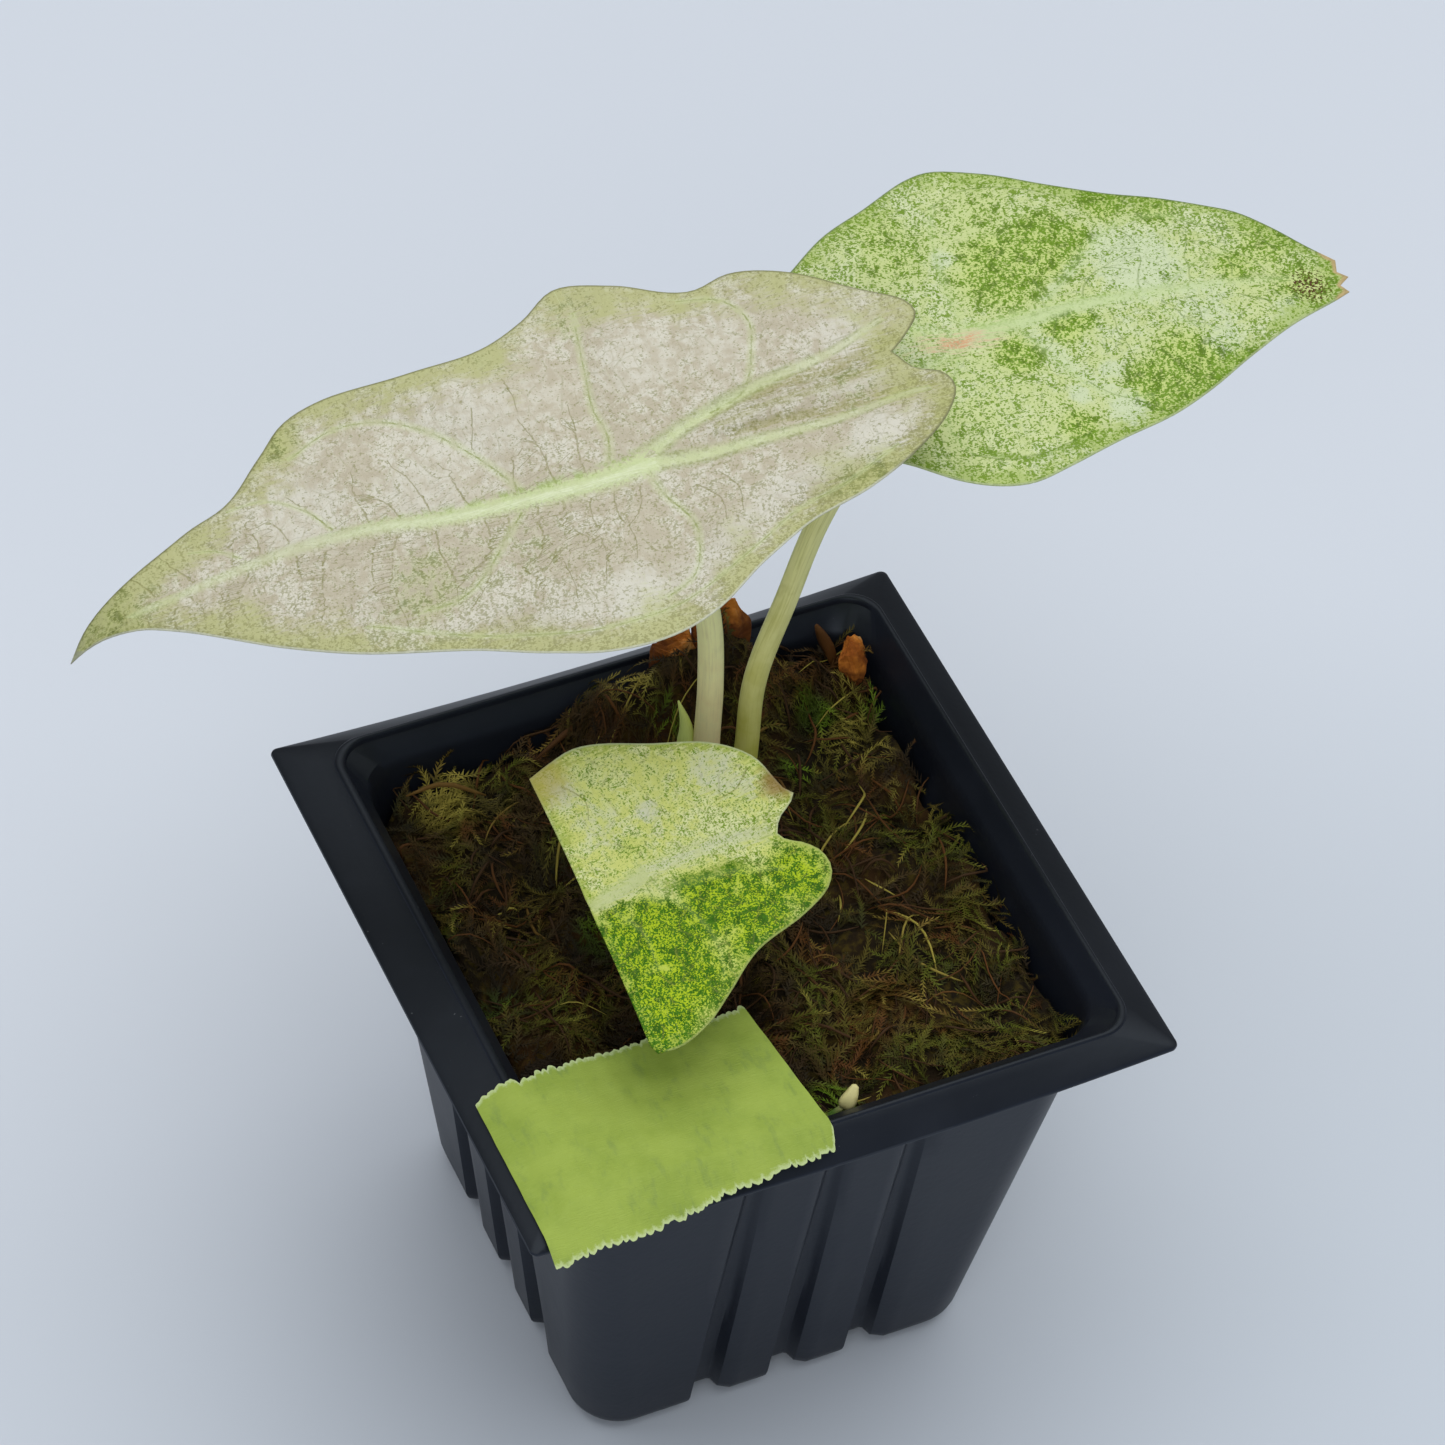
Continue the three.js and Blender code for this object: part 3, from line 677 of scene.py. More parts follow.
def makeSprigs():
    rng = np.random.default_rng(31)
    pattern, faces = sprigPattern()
    count = unlessQuick(moss["sprigs"], moss["sprigs"] // 2)
    gap, leftOut = moss["gaps"]
    allVerts, allFaces, hue, tip = [], [], [], []
    while len(allVerts) < count:
        x, y = (rng.uniform(*ends) for ends in moss["sprigArea"])
        if not insideMoss(x, y, moss["sprigMargin"]):
            continue
        # clumps lie the same way and stand higher in their middle, with thin dark gaps between
        clump = 1.4 * float(cloudOver(x, y, 3.1, 2.0)) + 0.8 * float(cloudOver(x, y, 1.7, 5.0)) - 1.1
        if clump < gap and rng.uniform() < leftOut:
            continue
        start = len(allVerts) * len(pattern)
        allVerts.append(placeSprig(pattern, x, y, clump, rng))
        allFaces += [tuple(start + k for k in face) for face in faces]
        hue.append(np.full(len(pattern), rng.uniform(0, 1)))
        # tip rises along each sprig and with its clump's height; its low end carries painted shade
        tip.append(pattern[:, 0] * 0.6 + rng.uniform(0, 0.3) + 0.25 * clump)
    verts = np.vstack(allVerts)
    piece = meshFrom("mossSprigs", verts, allFaces)
    x, y = verts[:, 0], verts[:, 1]
    # the hollow mark is where shade is painted into the hollows between the heaps
    markPoints(piece, hue=np.concatenate(hue), tip=np.concatenate(tip), hollow=hollows(x, y))
    markPoints(piece, brownPatch=cloudOver(x, y, 5.2, 0.4), rustPatch=cloudOver(x, y, 3.7, 3.3))
    for name in ("rustSpot", "strawSpot", "freshSpot"):
        markPoints(piece, **{name: nearSpots(x, y, moss[name + "s"])})
    return piece


# loose brown threads lying over the moss, and a few thicker dry sticks at the back
def makeThreads():
    rng = np.random.default_rng(77)
    allVerts, allFaces, hue = [], [], []
    sides, steps = 4, 8

    def lay(line, radius, colour):
        start = len(allVerts) * sides * steps
        heading = np.gradient(line, axis=0)
        heading /= np.linalg.norm(heading, axis=1)[:, None]
        rows = []
        for k, (spot, forward) in enumerate(zip(line, heading)):
            side = np.cross(forward, (0, 0, 1.0))
            side /= np.linalg.norm(side)
            up = np.cross(side, forward)
            thin = radius * (1 - 0.7 * (2 * k / (steps - 1) - 1) ** 2)
            turns = [s / sides * 2 * math.pi for s in range(sides)]
            rows += [spot + (side * math.cos(a) + up * math.sin(a)) * thin for a in turns]
        allVerts.append(np.array(rows))
        for k in range(steps - 1):
            for s in range(sides):
                a = start + k * sides + s
                b = start + k * sides + (s + 1) % sides
                allFaces.append((b, a, a + sides, b + sides))
        allFaces.append(tuple(start + s for s in range(sides)))
        allFaces.append(tuple(start + (steps - 1) * sides + s for s in reversed(range(sides))))
        hue.append(np.full(sides * steps, colour))

    t = np.linspace(-0.5, 0.5, steps)
    for _ in range(unlessQuick(moss["threads"], moss["threads"] // 2)):
        x, y = (rng.uniform(*ends) for ends in moss["threadArea"])
        if not insideMoss(x, y, moss["threadMargin"]):
            continue
        length = rng.uniform(*moss["threadLength"])
        heading = rng.uniform(0, 2 * math.pi) + rng.uniform(*moss["threadBend"]) * t
        arch = rng.uniform(*moss["threadArch"])
        walkX, walkY = (np.cumsum(way(heading)) * length / steps for way in (np.cos, np.sin))
        cx, cy = (values + 0.01 * t for values in insideWall(x + walkX, y + walkY))
        cz = mossHeight(cx, cy) + arch * (1 - (2 * t) ** 2) - moss["threadSink"]
        lay(np.stack([cx, cy, cz], 1), rng.uniform(*moss["threadRadius"]), rng.uniform(0, 1))
    for path, radius, colour in moss["sticks"]:
        line = smoothRun(path, 0.5, keepEnd=True)
        lay(line[np.linspace(0, len(line) - 1, steps).round().astype(int)], radius, colour)
    piece = meshFrom("mossThreads", np.vstack(allVerts), allFaces)
    markPoints(piece, hue=np.concatenate(hue))
    return piece


def meshFrom(name, verts, faces):
    data = bpy.data.meshes.new(name)
    data.from_pydata((np.asarray(verts) * mm).tolist(), [], faces)
    data.update()
    piece = bpy.data.objects.new(name, data)
    bpy.context.collection.objects.link(piece)
    deselect()
    piece.select_set(True)
    bpy.context.view_layer.objects.active = piece
    bpy.ops.object.shade_smooth()
    return piece


def groundPaint():
    paint = Paint("mossGround")
    where = paint.where()
    fine = paint.noise(where, 700, 3)
    base = paint.mix(paint.noise(where, 62, 2).step(0.4, 0.65), moss["dark"], moss["brown"])
    base = paint.mix(fine.step(0.45, 0.7) * 0.5, base, moss["olive"])
    return paint.finish(base, 0.95, paint.bump(fine, 0.0008, 0.8), 0.2)


def threadPaint():
    paint = Paint("mossStems")
    hue = paint.mark("hue")
    base = paint.mix(hue.step(0.2, 0.8), moss["brown"], moss["rust"])
    return paint.finish(paint.mix(hue.step(0.88, 0.97), base, moss["straw"]), 0.8, gloss=0.3)


def sprigPaint():
    paint = Paint("mossGreens")
    hue, tip = paint.mark("hue"), paint.mark("tip")
    base = paint.coats(
        paint.mix(hue.step(0.1, 0.9), moss["olive"], moss["green"]),
        (paint.mark("brownPatch").step(0.35, 0.7) * 0.85, moss["brown"]),
        (paint.mark("rustPatch").step(0.55, 0.8) * hue.step(0.4, 0.6), moss["rust"]),
        # painted shade: the sprigs darken toward their bases and in the lower clumps, deep in the bed
        ((1 - tip).step(0.4, 0.9) * 0.8, moss["dark"]),
        (paint.mark("rustSpot") * hue.step(0.3, 0.6) * 0.8, moss["rust"]),
        (tip.step(0.6, 0.9) * hue.step(0.6, 0.8) * 0.6, moss["straw"]),
        (paint.mark("strawSpot") * tip.step(0.1, 0.5) * 0.85, moss["straw"]),
        (paint.mark("freshSpot") * tip.step(0.1, 0.4) * 0.8, moss["fresh"]),
        # painted shade: the sprigs darken in the hollows between the heaps
        (paint.mark("hollow") * 0.75, moss["dark"]),
    )
    return paint.finish(base, 0.72, gloss=0.25)


# Leaves: each is worked out flat, u toward its tip and v across, with the stalk's joint at 0, 0
blade = {
    "spacing": (1.15, 2.0),  # between points of the edge, full and quick
    "rings": (36, 20),
    "ringEase": 0.86,
    "thick": (0.5, 0.24),  # at the stalk, at the edge
    "edgeBulge": 0.07,
    "puff": (0.5, 4.2),  # between the veins: height, width
    "groove": (0.13, 0.6),  # along the veins above: depth, width
    "midribCrest": (0.22, 0.7),
    "midribGutters": (0.16, 0.7, 1.5),  # depth, width, way off
    "midribBelow": (0.85, 0.8),  # height, width
    "veinsBelow": (0.3, 0.55),
    "poleDepth": 1.4,
    "knotAt": (-0.5, 0.6),
    "through": 0.2,
    "uvSize": 100,
    "beyond": 60.0,  # stands for a point beside a curve's ends
}

leafLeft = {
    "name": "leafLeft",
    "node": "leaf_left",
    "slot": "leaf_cream",
    "gloss": 0.24,
    "at": (-2.7, 23.7, 130.0),
    "knot": 0.35,
    "rearRibs": 2,
    "grain": 1.0,
    "turn": (173, 9, -12),  # heading, droop, roll
    # stretches of the outline, sharp where they meet; each starts where the one before it ends
    "runs": [
        [(72.6, -3.2), (65, -6.4), (58, -9.7), (51, -12.4), (45.5, -17.2), (41.5, -20.6),
         (36, -22), (25, -21.5), (15.5, -21.9), (8.6, -24.6), (3.5, -27.6), (-4, -25.4), (-13, -22),
         (-18.4, -22.7), (-24.9, -20.2), (-32.4, -15.4), (-38.4, -11.9), (-39.2, -9.7), (-37, -7),
         (-34.4, -4.9)],
        [(-36.3, -1.9), (-39.5, -0.2), (-40.4, 2.4), (-37.7, 6.8), (-32, 10.6),
         (-26, 13.1), (-17.3, 15.2), (-10, 18.9), (-2.8, 23.1), (5, 25), (12.6, 24.7), (19, 22.4),
         (27, 18.8), (41.1, 14.7), (50, 10.8), (61.8, 3.6), (68, 0.5), (72.5, -0.5), (75.6, -0.7)],
    ],
    "bend": (0.0008, 0.0006, 0.0016),  # fall toward the tip, toward the lobes and to the sides
    "tipCurl": (64, 0.045),  # where it starts, fall
    "waves": (0.6, 7, 0.4),
    "midrib": [(-1.5, 1.1), (0, 1.3), (6, 1.7), (11.3, 1.5), (19.1, 1), (26.7, 0.2), (34, -1.5),
               (40.4, -2.2), (47, -2.4), (53.6, -2), (60.3, -1.4), (68, -0.9)],
    "ribWidth": (1.7, 0.5),
    "ribFade": (0.12, 0.5),
    # raised veins: points, half width at the start, half width at the end
    "veins": [
        ([(-0.3, 1), (-6.9, 2.1), (-14, 2.3), (-21.6, 2.5), (-26.2, 2.4), (-30.5, 1.9), (-35, 1.4),
          (-38, 1.6)], 0.85, 0.3),
        ([(-0.3, 0), (-7.1, -2.9), (-14.9, -5.2), (-20.7, -6.3), (-26.7, -7.3), (-33.1, -9.6),
          (-36, -10.6)], 0.85, 0.25),
        ([(-9.6, -3.6), (-15, -5.4), (-17.6, -10.5), (-18.6, -15), (-16, -19.4),
          (-9.8, -21.4)], 0.3, 0.16),
        ([(4.6, 0.4), (3.3, -4.4), (3.9, -8.8), (3.4, -13.2), (2.6, -19.4), (2, -24)], 0.3, 0.2),
        ([(15.6, 0.2), (17.1, -3), (20.1, -7.8), (24.4, -12.8), (29.7, -16.4), (36, -17.6),
          (42.6, -15.4)], 0.3, 0.16),
        ([(39.4, -3.2), (42.6, -8), (46.9, -11), (52, -11.2)], 0.2, 0.1),
        ([(51, -3.2), (54.2, -6), (58, -7.2)], 0.18, 0.08),
        ([(0, 2.2), (-0.9, 5.9), (-2.6, 9.1), (-3.4, 11.4), (-2.7, 14.9), (-1.1, 17.8),
          (4.1, 20)], 0.3, 0.16),
        ([(15.8, 1.6), (18.7, 4.6), (22.5, 8.4), (25.3, 10.6), (28, 11.6), (34, 11.6)], 0.3, 0.16),
        ([(40, 11), (31.2, 15), (22.2, 18.4), (12.7, 21.3), (6.2, 21.4), (1.3, 20.8), (-3.6, 19.2),
          (-9.8, 16.4), (-15.8, 13.2), (-23, 11.6), (-31, 8.6)], 0.16, 0.12),
    ],
    # fine dark veins
    "threads": [
        [(7.6, 3), (8.6, 5.2), (8.5, 8), (8.6, 11.8), (9.7, 15.8)],
        [(8.4, 8), (6.5, 6.9)],
        [(1.5, 3.2), (2.8, 7.4), (5.8, 9.7)],
        [(15.9, 3.8), (14.1, 9.7), (13.5, 14.3), (13.7, 17)],
        [(12.5, 3.8), (12.2, 7.8), (12.1, 10.4)],
        [(19.4, 9), (17.7, 12.4), (17.8, 15.8)],
        [(13.7, -17), (13, -14.5), (13.1, -11)],
        [(18.2, -14.1), (19.9, -8.4)],
        [(-8, 4.6), (-10, 8), (-9.4, 12)],
        [(13, 9), (16.4, 11.6), (17, 14.8)],
        [(5, 3.2), (5.4, 7), (4.4, 11), (5.2, 14)],
        [(-5, 5.8), (-7.4, 9), (-7, 12.6)],
    ],
    # ridges and furrows toward the notch: points, height, half width
    "pleats": [
        ([(-3, 0), (-7.5, -0.6), (-14, -1.6), (-20.3, -2.2), (-27, -2), (-33.8, -3)], 0.55, 1.5),
        ([(-4, -1.6), (-15.6, -4.2), (-21.4, -4.9), (-26.3, -5), (-33.3, -6.6)], -0.45, 1.1),
        ([(-8, 1.2), (-15.6, 0.3), (-23, 0.9), (-32.3, 0.5), (-38, 0.2)], -0.4, 0.9),
        ([(-7.1, 13.4), (-14.6, 9.9), (-22.2, 9.2), (-34.4, 5.2)], 0.4, 2.4),
    ],
    # colour strokes: points, half width at the start, half width at the end; the olive strokes here are
    # painted shade in the furrows and on the shaded sides of the pleats
    "olive": [
        ([(-9, -2.6), (-15.6, -4.4), (-21.4, -4.9), (-26.3, -4.9), (-33.3, -6.8),
          (-36.4, -7.6)], 0.7, 1.3),
        ([(-11, 0.2), (-15.6, 0.2), (-19.7, 0.2), (-23, 1), (-27.9, 0.9), (-32.3, 0.5),
          (-38.4, 0.3)], 0.5, 0.9),
        ([(-9, -0.8), (-16, -2), (-24, -2.2), (-33, -3.4)], 0.5, 0.9),
        ([(-14, 18), (-20.5, 12.8), (-27.1, 11.4), (-34.2, 7.9), (-38.3, 5.2), (-39.6, 2)], 0.9, 1.2),
    ],
    # the white strokes here are mostly painted highlights: lit pleat ridges and a painted sheen toward the
    # lobes
    "whiteAndHighlight": [
        ([(20, 17.4), (11.7, 18.4), (6.4, 19.2), (1.2, 18.1), (-4.4, 15.8), (-9, 13.2)], 1.2, 2.2),
        ([(-5, 15.4), (-11, 12.2), (-14.6, 10), (-18.3, 9.2), (-22.2, 8.8), (-27.8, 7.4),
          (-35.4, 4.6)], 1.8, 1.3),
        ([(-7.5, -0.6), (-20.3, -2.2), (-25.2, -1.7), (-28.8, -1.4), (-33.8, -2.6)], 0.4, 0.9),
        ([(20, 0.4), (26, -1.6), (32, -3.8)], 1.2, 0.8),
    ],
    "ground": [(193, 185, 164), (204, 198, 179), (219, 216, 202)],
    "speck": (134, 134, 78),
    "speckDeep": (126, 142, 54),
    "speckAmount": 0.56,
    "dense": 0.2,
    # denser speckles toward the near half: partly the leaf's own speckling, partly painted shade on the half
    # that turns down from the light
    "nearSpecksAndShade": 0.8,
    "vein": (136, 148, 70),
    "rib": (206, 219, 166),
    "ribCore": (226, 234, 202),
    "ribEdge": (164, 184, 108),
    "veinStrength": 0.85,
    "ribStrength": 0.85,
    "thread": (134, 132, 74),
    "threadRows": (7, 66, 4.4, 11),
    "margin": (184, 190, 122),
    "marginWidth": 3.6,
    "marginDense": 0.12,
    "rimHighlight": (214, 218, 200),
    "rimShade": (128, 130, 92),
    "rimSide": -1.0,
    "rimAlong": -0.3,
    "oliveAndShadeTint": (154, 152, 86),
    # spots of green, paler windows and dark spots: place, radius, strength
    "patches": [((43, -18.6), 4, 0.5), ((62, -5), 4, 0.25), ((13, -20.5), 6, 0.2), ((34, 12.6), 7, 0.3),
                ((-26, 12), 6, 0.45), ((72, -1), 9, 0.55), ((24, 8), 6, 0.2), ((3, -23), 4, 0.4),
                ((17, 8), 5, 0.22), ((31, 9), 6, 0.4), ((-28, -1.7), 4, 0.34)],
    "patchGround": (192, 200, 136),
    "pale": [((6.4, 18.4), 4.5, 0.9), ((-29, 6.8), 4, 0.95), ((9.8, -12.4), 5, 0.4),
             ((-13, -13), 6, 0.45), ((20, -11), 10, 0.55), ((43, -7), 7, 0.6), ((-30, -9), 5, 0.6),
             ((27, -6), 7, 0.6), ((-4, -14), 7, 0.5), ((12, -8), 7, 0.35), ((36, 6), 5, 0.3)],
    "paleTint": (217, 215, 202),
    "under": (192, 190, 146),
}

leafRight = {
    "name": "leafRight",
    "node": "leaf_right",
    "slot": "leaf_mint",
    "gloss": 0.22,
    "at": (44.9, 29.7, 128.0),
    "knot": 0.0,
    "rearRibs": 2,
    "grain": 1.0,
    "turn": (-9, 1, 10),
    "runs": [
        [(48.9, 8.2), (44.7, 12.5), (41.1, 15.5), (36.9, 17.4), (31.3, 19.3), (24.1, 20.7),
         (16.5, 22.8), (9.2, 25.9), (3, 27.8), (-0.5, 27), (-7.9, 22.3), (-14.3, 18.7), (-19.7, 14.2),
         (-25, 9.8), (-28.6, 6.6), (-29.8, 3.8), (-28, 1.4), (-25.5, 0.2)],
        [(-27.6, -1.6), (-29.6, -4), (-29, -7.2), (-25, -10.8), (-19, -14.2),
         (-12.4, -17.5), (-6, -20.8), (2.5, -22.6), (8.5, -21.2), (17.6, -17.7), (24, -15.2), (30.6, -12),
         (37.2, -7.9), (43.9, -4.2), (50.6, -1.2)],
        [(52.6, -0.2)],
        [(51.7, 1)],
        [(53.2, 2.2)],
        [(51.9, 3.2)],
        [(52.3, 5.1)],
    ],
    "bend": (0.0008, 0.0006, 0.0016),
    "waves": (0.6, 6, 1.7),
    "midrib": [(-0.6, -0.2), (0, 0), (6.4, 1.2), (10.9, 1.9), (15.1, 2.7), (20.6, 3.1), (26.9, 3.3),
               (38.7, 3.4), (47, 3)],
    "ribWidth": (1.6, 0.5),
    "ribFade": (0.1, 0.46),
    "veins": [
        ([(-0.5, 0.4), (-6, 3.2), (-12, 5.4), (-19, 6.8), (-26.5, 5.6)], 0.8, 0.25),
        ([(-0.5, -0.4), (-6, -3.4), (-12, -5.6), (-19, -7), (-26, -6.4)], 0.8, 0.25),
        ([(0.3, 0.8), (-0.1, 6.5), (-0.2, 12.3), (0.8, 19), (2, 23)], 0.45, 0.18),
        ([(9.4, 2), (13, 5), (20, 11.9), (24.3, 15.3), (30.5, 16.6), (37, 14.4)], 0.55, 0.16),
        ([(7.4, 1), (10.6, -4), (13.6, -8.4), (17, -11), (23, -12)], 0.5, 0.16),
        ([(-0.6, -0.6), (-3.4, -7), (-5.4, -13), (-3, -17.6)], 0.35, 0.14),
        ([(27, 3.4), (33, 7.4), (39, 9.2)], 0.25, 0.1),
        ([(24, 3), (30, -2), (36, -4.2)], 0.25, 0.1),
    ],
    "threads": [
        [(-4.1, -16.7), (0.3, -18.6), (3.2, -19), (7, -18.5), (12.1, -17)],
        [(14.2, -8.4), (16.7, -10.7), (20.8, -12.4)],
        [(32.1, -4.8), (34.2, -6.2), (35.7, -6.2)],
        [(-0.2, 20.8), (3.1, 22.8), (7, 23.7), (12.7, 22.6), (20, 19.8)],
        [(32.7, 15.6), (37, 13.9), (41.1, 11.7), (46, 7.6)],
        [(14, -6), (17, -4.4)],
    ],
    "pleats": [([(-2, 0), (-12, 0.2), (-25, 0.2)], -0.9, 2.0)],
    "olive": [([(-3, -16.4), (3.2, -19.2), (7, -19), (13, -17)], 0.5, 0.5)],
    "whiteAndHighlight": [
        ([(7, 1), (14, 2.6), (24, 3.2), (36, 3.4)], 1.0, 0.8),
        ([(12, 4.6), (18, 9.6), (24, 13.6)], 0.7, 0.9),
        ([(9, 0), (12, -5), (15.6, -9.4), (20, -12.6)], 1.0, 1.4),
    ],
    "ground": [(203, 215, 152), (209, 219, 164), (216, 225, 182)],
    "speck": (118, 150, 34),
    "speckDeep": (106, 146, 0),
    "speckAmount": 0.95,
    "dense": 0.36,
    "nearSpecksAndShade": 0.0,
    "vein": (150, 182, 92),
    "rib": (198, 217, 156),
    "ribCore": (202, 219, 162),
    "ribEdge": (182, 206, 130),
    "veinStrength": 0.45,
    "ribStrength": 0.6,
    "thread": (112, 140, 60),
    "threadRows": (9, 44, 6.0, 23),
    "margin": (168, 190, 104),
    "marginWidth": 1.8,
    "marginDense": 0.2,
    "rimHighlight": (190, 204, 156),
    "rimShade": (120, 140, 92),
    "rimSide": 1.0,
    "rimAlong": -0.9,
    "oliveAndShadeTint": (112, 152, 40),
    "patches": [((7.5, 9.8), 7.2, 0.9), ((14, 13), 6.4, 0.9), ((19, 14), 3, 0.8), ((8, 18), 6, 0.45),
                ((24, 19.6), 3.4, 1.0), ((13.4, -0.2), 3.0, 1.0), ((16, 0.4), 2.2, 1.0),
                ((6.2, -3.4), 3.6, 0.9), ((28.2, -8.8), 6, 1.0), ((23, -10.6), 4.5, 1.0),
                ((34, -8.4), 4, 0.8), ((11.2, -15.7), 3, 0.8), ((29.4, 7.1), 2, 0.6),
                ((38.6, 6.4), 3.2, 0.75), ((47, 2), 5, 0.7), ((-4.6, -14.8), 7, 0.35),
                ((-6, 15.6), 7, 0.5), ((44, 9), 5, 0.6), ((31, 17.6), 4, 0.6)],
    "patchGround": (200, 215, 132),
    "pale": [((12.7, -10.6), 1.7, 1.0), ((18.5, -13.4), 3, 1.0), ((17.6, -7.4), 1.8, 0.8),
             ((0.6, 13.2), 1.8, 0.9), ((26.2, 8.4), 6.8, 0.95), ((24, 11), 4.5, 0.8),
             ((32.6, 1), 5.4, 0.6), ((34, -5), 3.4, 0.7), ((44, -2.4), 3.4, 0.6), ((-10, 2), 6, 0.5),
             ((20, -2), 6, 0.35)],
    "paleTint": (209, 221, 183),
    "under": (178, 198, 140),
    "blush": {"at": (-0.5, -0.2), "wide": (220, 208, 176), "core": (218, 138, 98)},
    "tornTip": {"at": (47.6, 1.6), "fleck": (84, 54, 28), "dry": (198, 176, 128)},
}

leafFront = {
    "name": "leafFront",
    "node": "leaf_front",
    "slot": "leaf_green",
    "gloss": 0.14,
    "at": (-16.2, -11.6, 92.0),
    "knot": 0.3,
    "rearRibs": 1,
    "grain": 1.45,
    "deep": [((-5.6, 7.7), 1.2, 1.0), ((-5.1, 9.7), 0.7, 0.8), ((0.6, 7.7), 0.9, 0.8),
             ((-2.8, 11.6), 0.9, 0.9), ((-11.8, 10.3), 0.9, 0.8), ((6.5, 5.6), 1.0, 0.8),
             ((4.8, 3.3), 0.7, 0.6), ((7.3, 7), 0.8, 0.7), ((-18, 6), 0.9, 0.7), ((-0.9, 17.4), 1.1, 0.7),
             ((2.2, 7), 0.7, 0.7), ((-1.6, 9.2), 0.6, 0.7), ((-9.6, 12), 0.8, 0.6),
             ((-9.4, 1.2), 0.8, 0.6)],
    "turn": (-176, 4.5, -22),
    "runs": [
        [(4, -19.3), (0.1, -19.8), (-8.5, -16.9), (-16.2, -13.5), (-20.2, -9.6),
         (-21.4, -5.8), (-21.8, -4.4)],
        [(-22.7, -3.2)],
        [(-21.8, -2.2), (-19.6, -0.9), (-18.6, 0.8), (-19.3, 1.9), (-21.2, 3.3),
         (-22.6, 5), (-22.9, 7.4), (-21.3, 9.7), (-16.6, 11.8), (-9.1, 13.7), (-3.6, 17.1), (0.4, 19.5),
         (5, 20.9), (8.3, 20.6)],
        [(8.8, 19.4)],
        [(7.8, 0.6), (7.2, -18.4)],
    ],
    "bend": (0, 0, 0.0016),
    "waves": (0.5, 5, 3.1),
    "midrib": [(7.8, 0.4), (3.1, -0.3), (0, -0.9), (-1.3, -1.2)],
    "ribWidth": (0.9, 1.3),
    "ribFade": (0.5, 0.6),
    "veins": [
        ([(0, -1), (-3.5, -1.3), (-7, -1.1), (-12.8, -0.9), (-18.1, 0.4)], 1.2, 0.7),
        ([(-1, 0.6), (-5.1, 2), (-11.6, 3.2), (-18, 5.4)], 0.35, 0.12),
        ([(-2, -1.6), (-8, -3.6), (-14, -5), (-19, -5)], 0.3, 0.12),
        ([(-0.5, -1.4), (-5, -7), (-8, -12), (-9, -15)], 0.28, 0.12),
        ([(5, -0.4), (1, -8), (1.4, -14), (3, -18)], 0.28, 0.12),
        ([(-0.5, 0.2), (-4, 6), (-5, 11), (-4, 15)], 0.26, 0.1),
        ([(5.4, 0.8), (3, 6), (3.4, 11)], 0.26, 0.1),
    ],
    "threads": [
        [(-19, -8.6), (-16, -6.6), (-13, -6.4)],
        [(-20, -5.6), (-17.6, -4.4)],
        [(4, -16), (2, -13), (3, -10)],
    ],
    "pleats": [
        ([(-1.5, 0.8), (-6, 1), (-12, 1), (-18, 1.2)], -0.5, 1.0),
        ([(0, 1.6), (-5.1, 2.4), (-11.6, 3)], 0.3, 1.0),
    ],
    "olive": [([(-1.6, 1.5), (-5, 1.8), (-8.3, 2), (-14, 2.2)], 0.7, 0.7)],
    "whiteAndHighlight": [
        ([(7.6, 0.2), (3.1, -0.3), (-1.3, -1.4), (-7, -1.2), (-12.8, -1), (-18.4, 0.2)], 0.95, 1.0),
        ([(-12, -9.6), (-14.8, -8), (-19, -6)], 1.2, 1.4),
    ],
    "ground": [(213, 220, 128), (219, 226, 149), (226, 231, 174)],
    "speck": (124, 156, 34),
    "speckDeep": (56, 114, 0),
    "speckAmount": 0.96,
    "dense": 0.31,
    "nearSpecksAndShade": 1.0,
    "vein": (176, 194, 100),
    "rib": (196, 207, 142),
    "ribCore": (200, 210, 148),
    "ribEdge": (190, 203, 134),
    "veinStrength": 0.22,
    "ribStrength": 0.6,
    "thread": (132, 136, 64),
    "threadRows": (0, 0, 1, 5),
    "margin": (164, 184, 76),
    "marginWidth": 0.8,
    "marginDense": 0.0,
    "rimHighlight": (206, 216, 170),
    "rimShade": (176, 190, 110),
    "rimSide": 1.0,
    "rimAlong": -0.9,
    "oliveAndShadeTint": (88, 124, 12),
    "patches": [((-9, 12.4), 4, 0.8), ((-3, 16), 4, 0.7), ((-6.5, 6), 5, 1.0), ((-5.5, 3.2), 2.6, 0.9),
                ((-11, 3.8), 2.4, 0.8), ((0, 8), 6, 1.0), ((1, 4.4), 3.4, 1.0), ((6, 7), 5, 1.0),
                ((-12, 9), 5, 1.0), ((-12, 5.4), 3.4, 0.8), ((0, 13), 6, 0.9), ((-18, 7), 5, 0.9),
                ((5, 15), 6, 1.0), ((5, 2.8), 2.4, 0.8), ((6, 18.6), 4, 1.0), ((-7.4, -14.6), 3.4, 0.12),
                ((-1, -15.6), 4, 0.22), ((-0.6, -5.2), 2.2, 0.4), ((-16, -5), 3, 0.25)],
    "patchGround": (179, 203, 26),
    "pale": [((-4.5, -8.6), 1.7, 0.75), ((4.4, -15.2), 2.6, 0.65), ((-14.6, -10.3), 3.4, 0.6),
             ((-5, -4.6), 3, 0.25), ((2, -9), 4, 0.4)],
    "paleTint": (214, 218, 190),
    "under": (170, 186, 112),
    # browned edge near the small lobe, ochre at the far corner of the cut: place, reach, strength, colour
    "browned": [((-21.6, -5.4), (0.034, 0.008), 0.75, (140, 98, 56)),
                ((6.4, -18), (0.06, 0.01), 0.7, (186, 172, 84))],
    "cutEdge": 0.066,
}


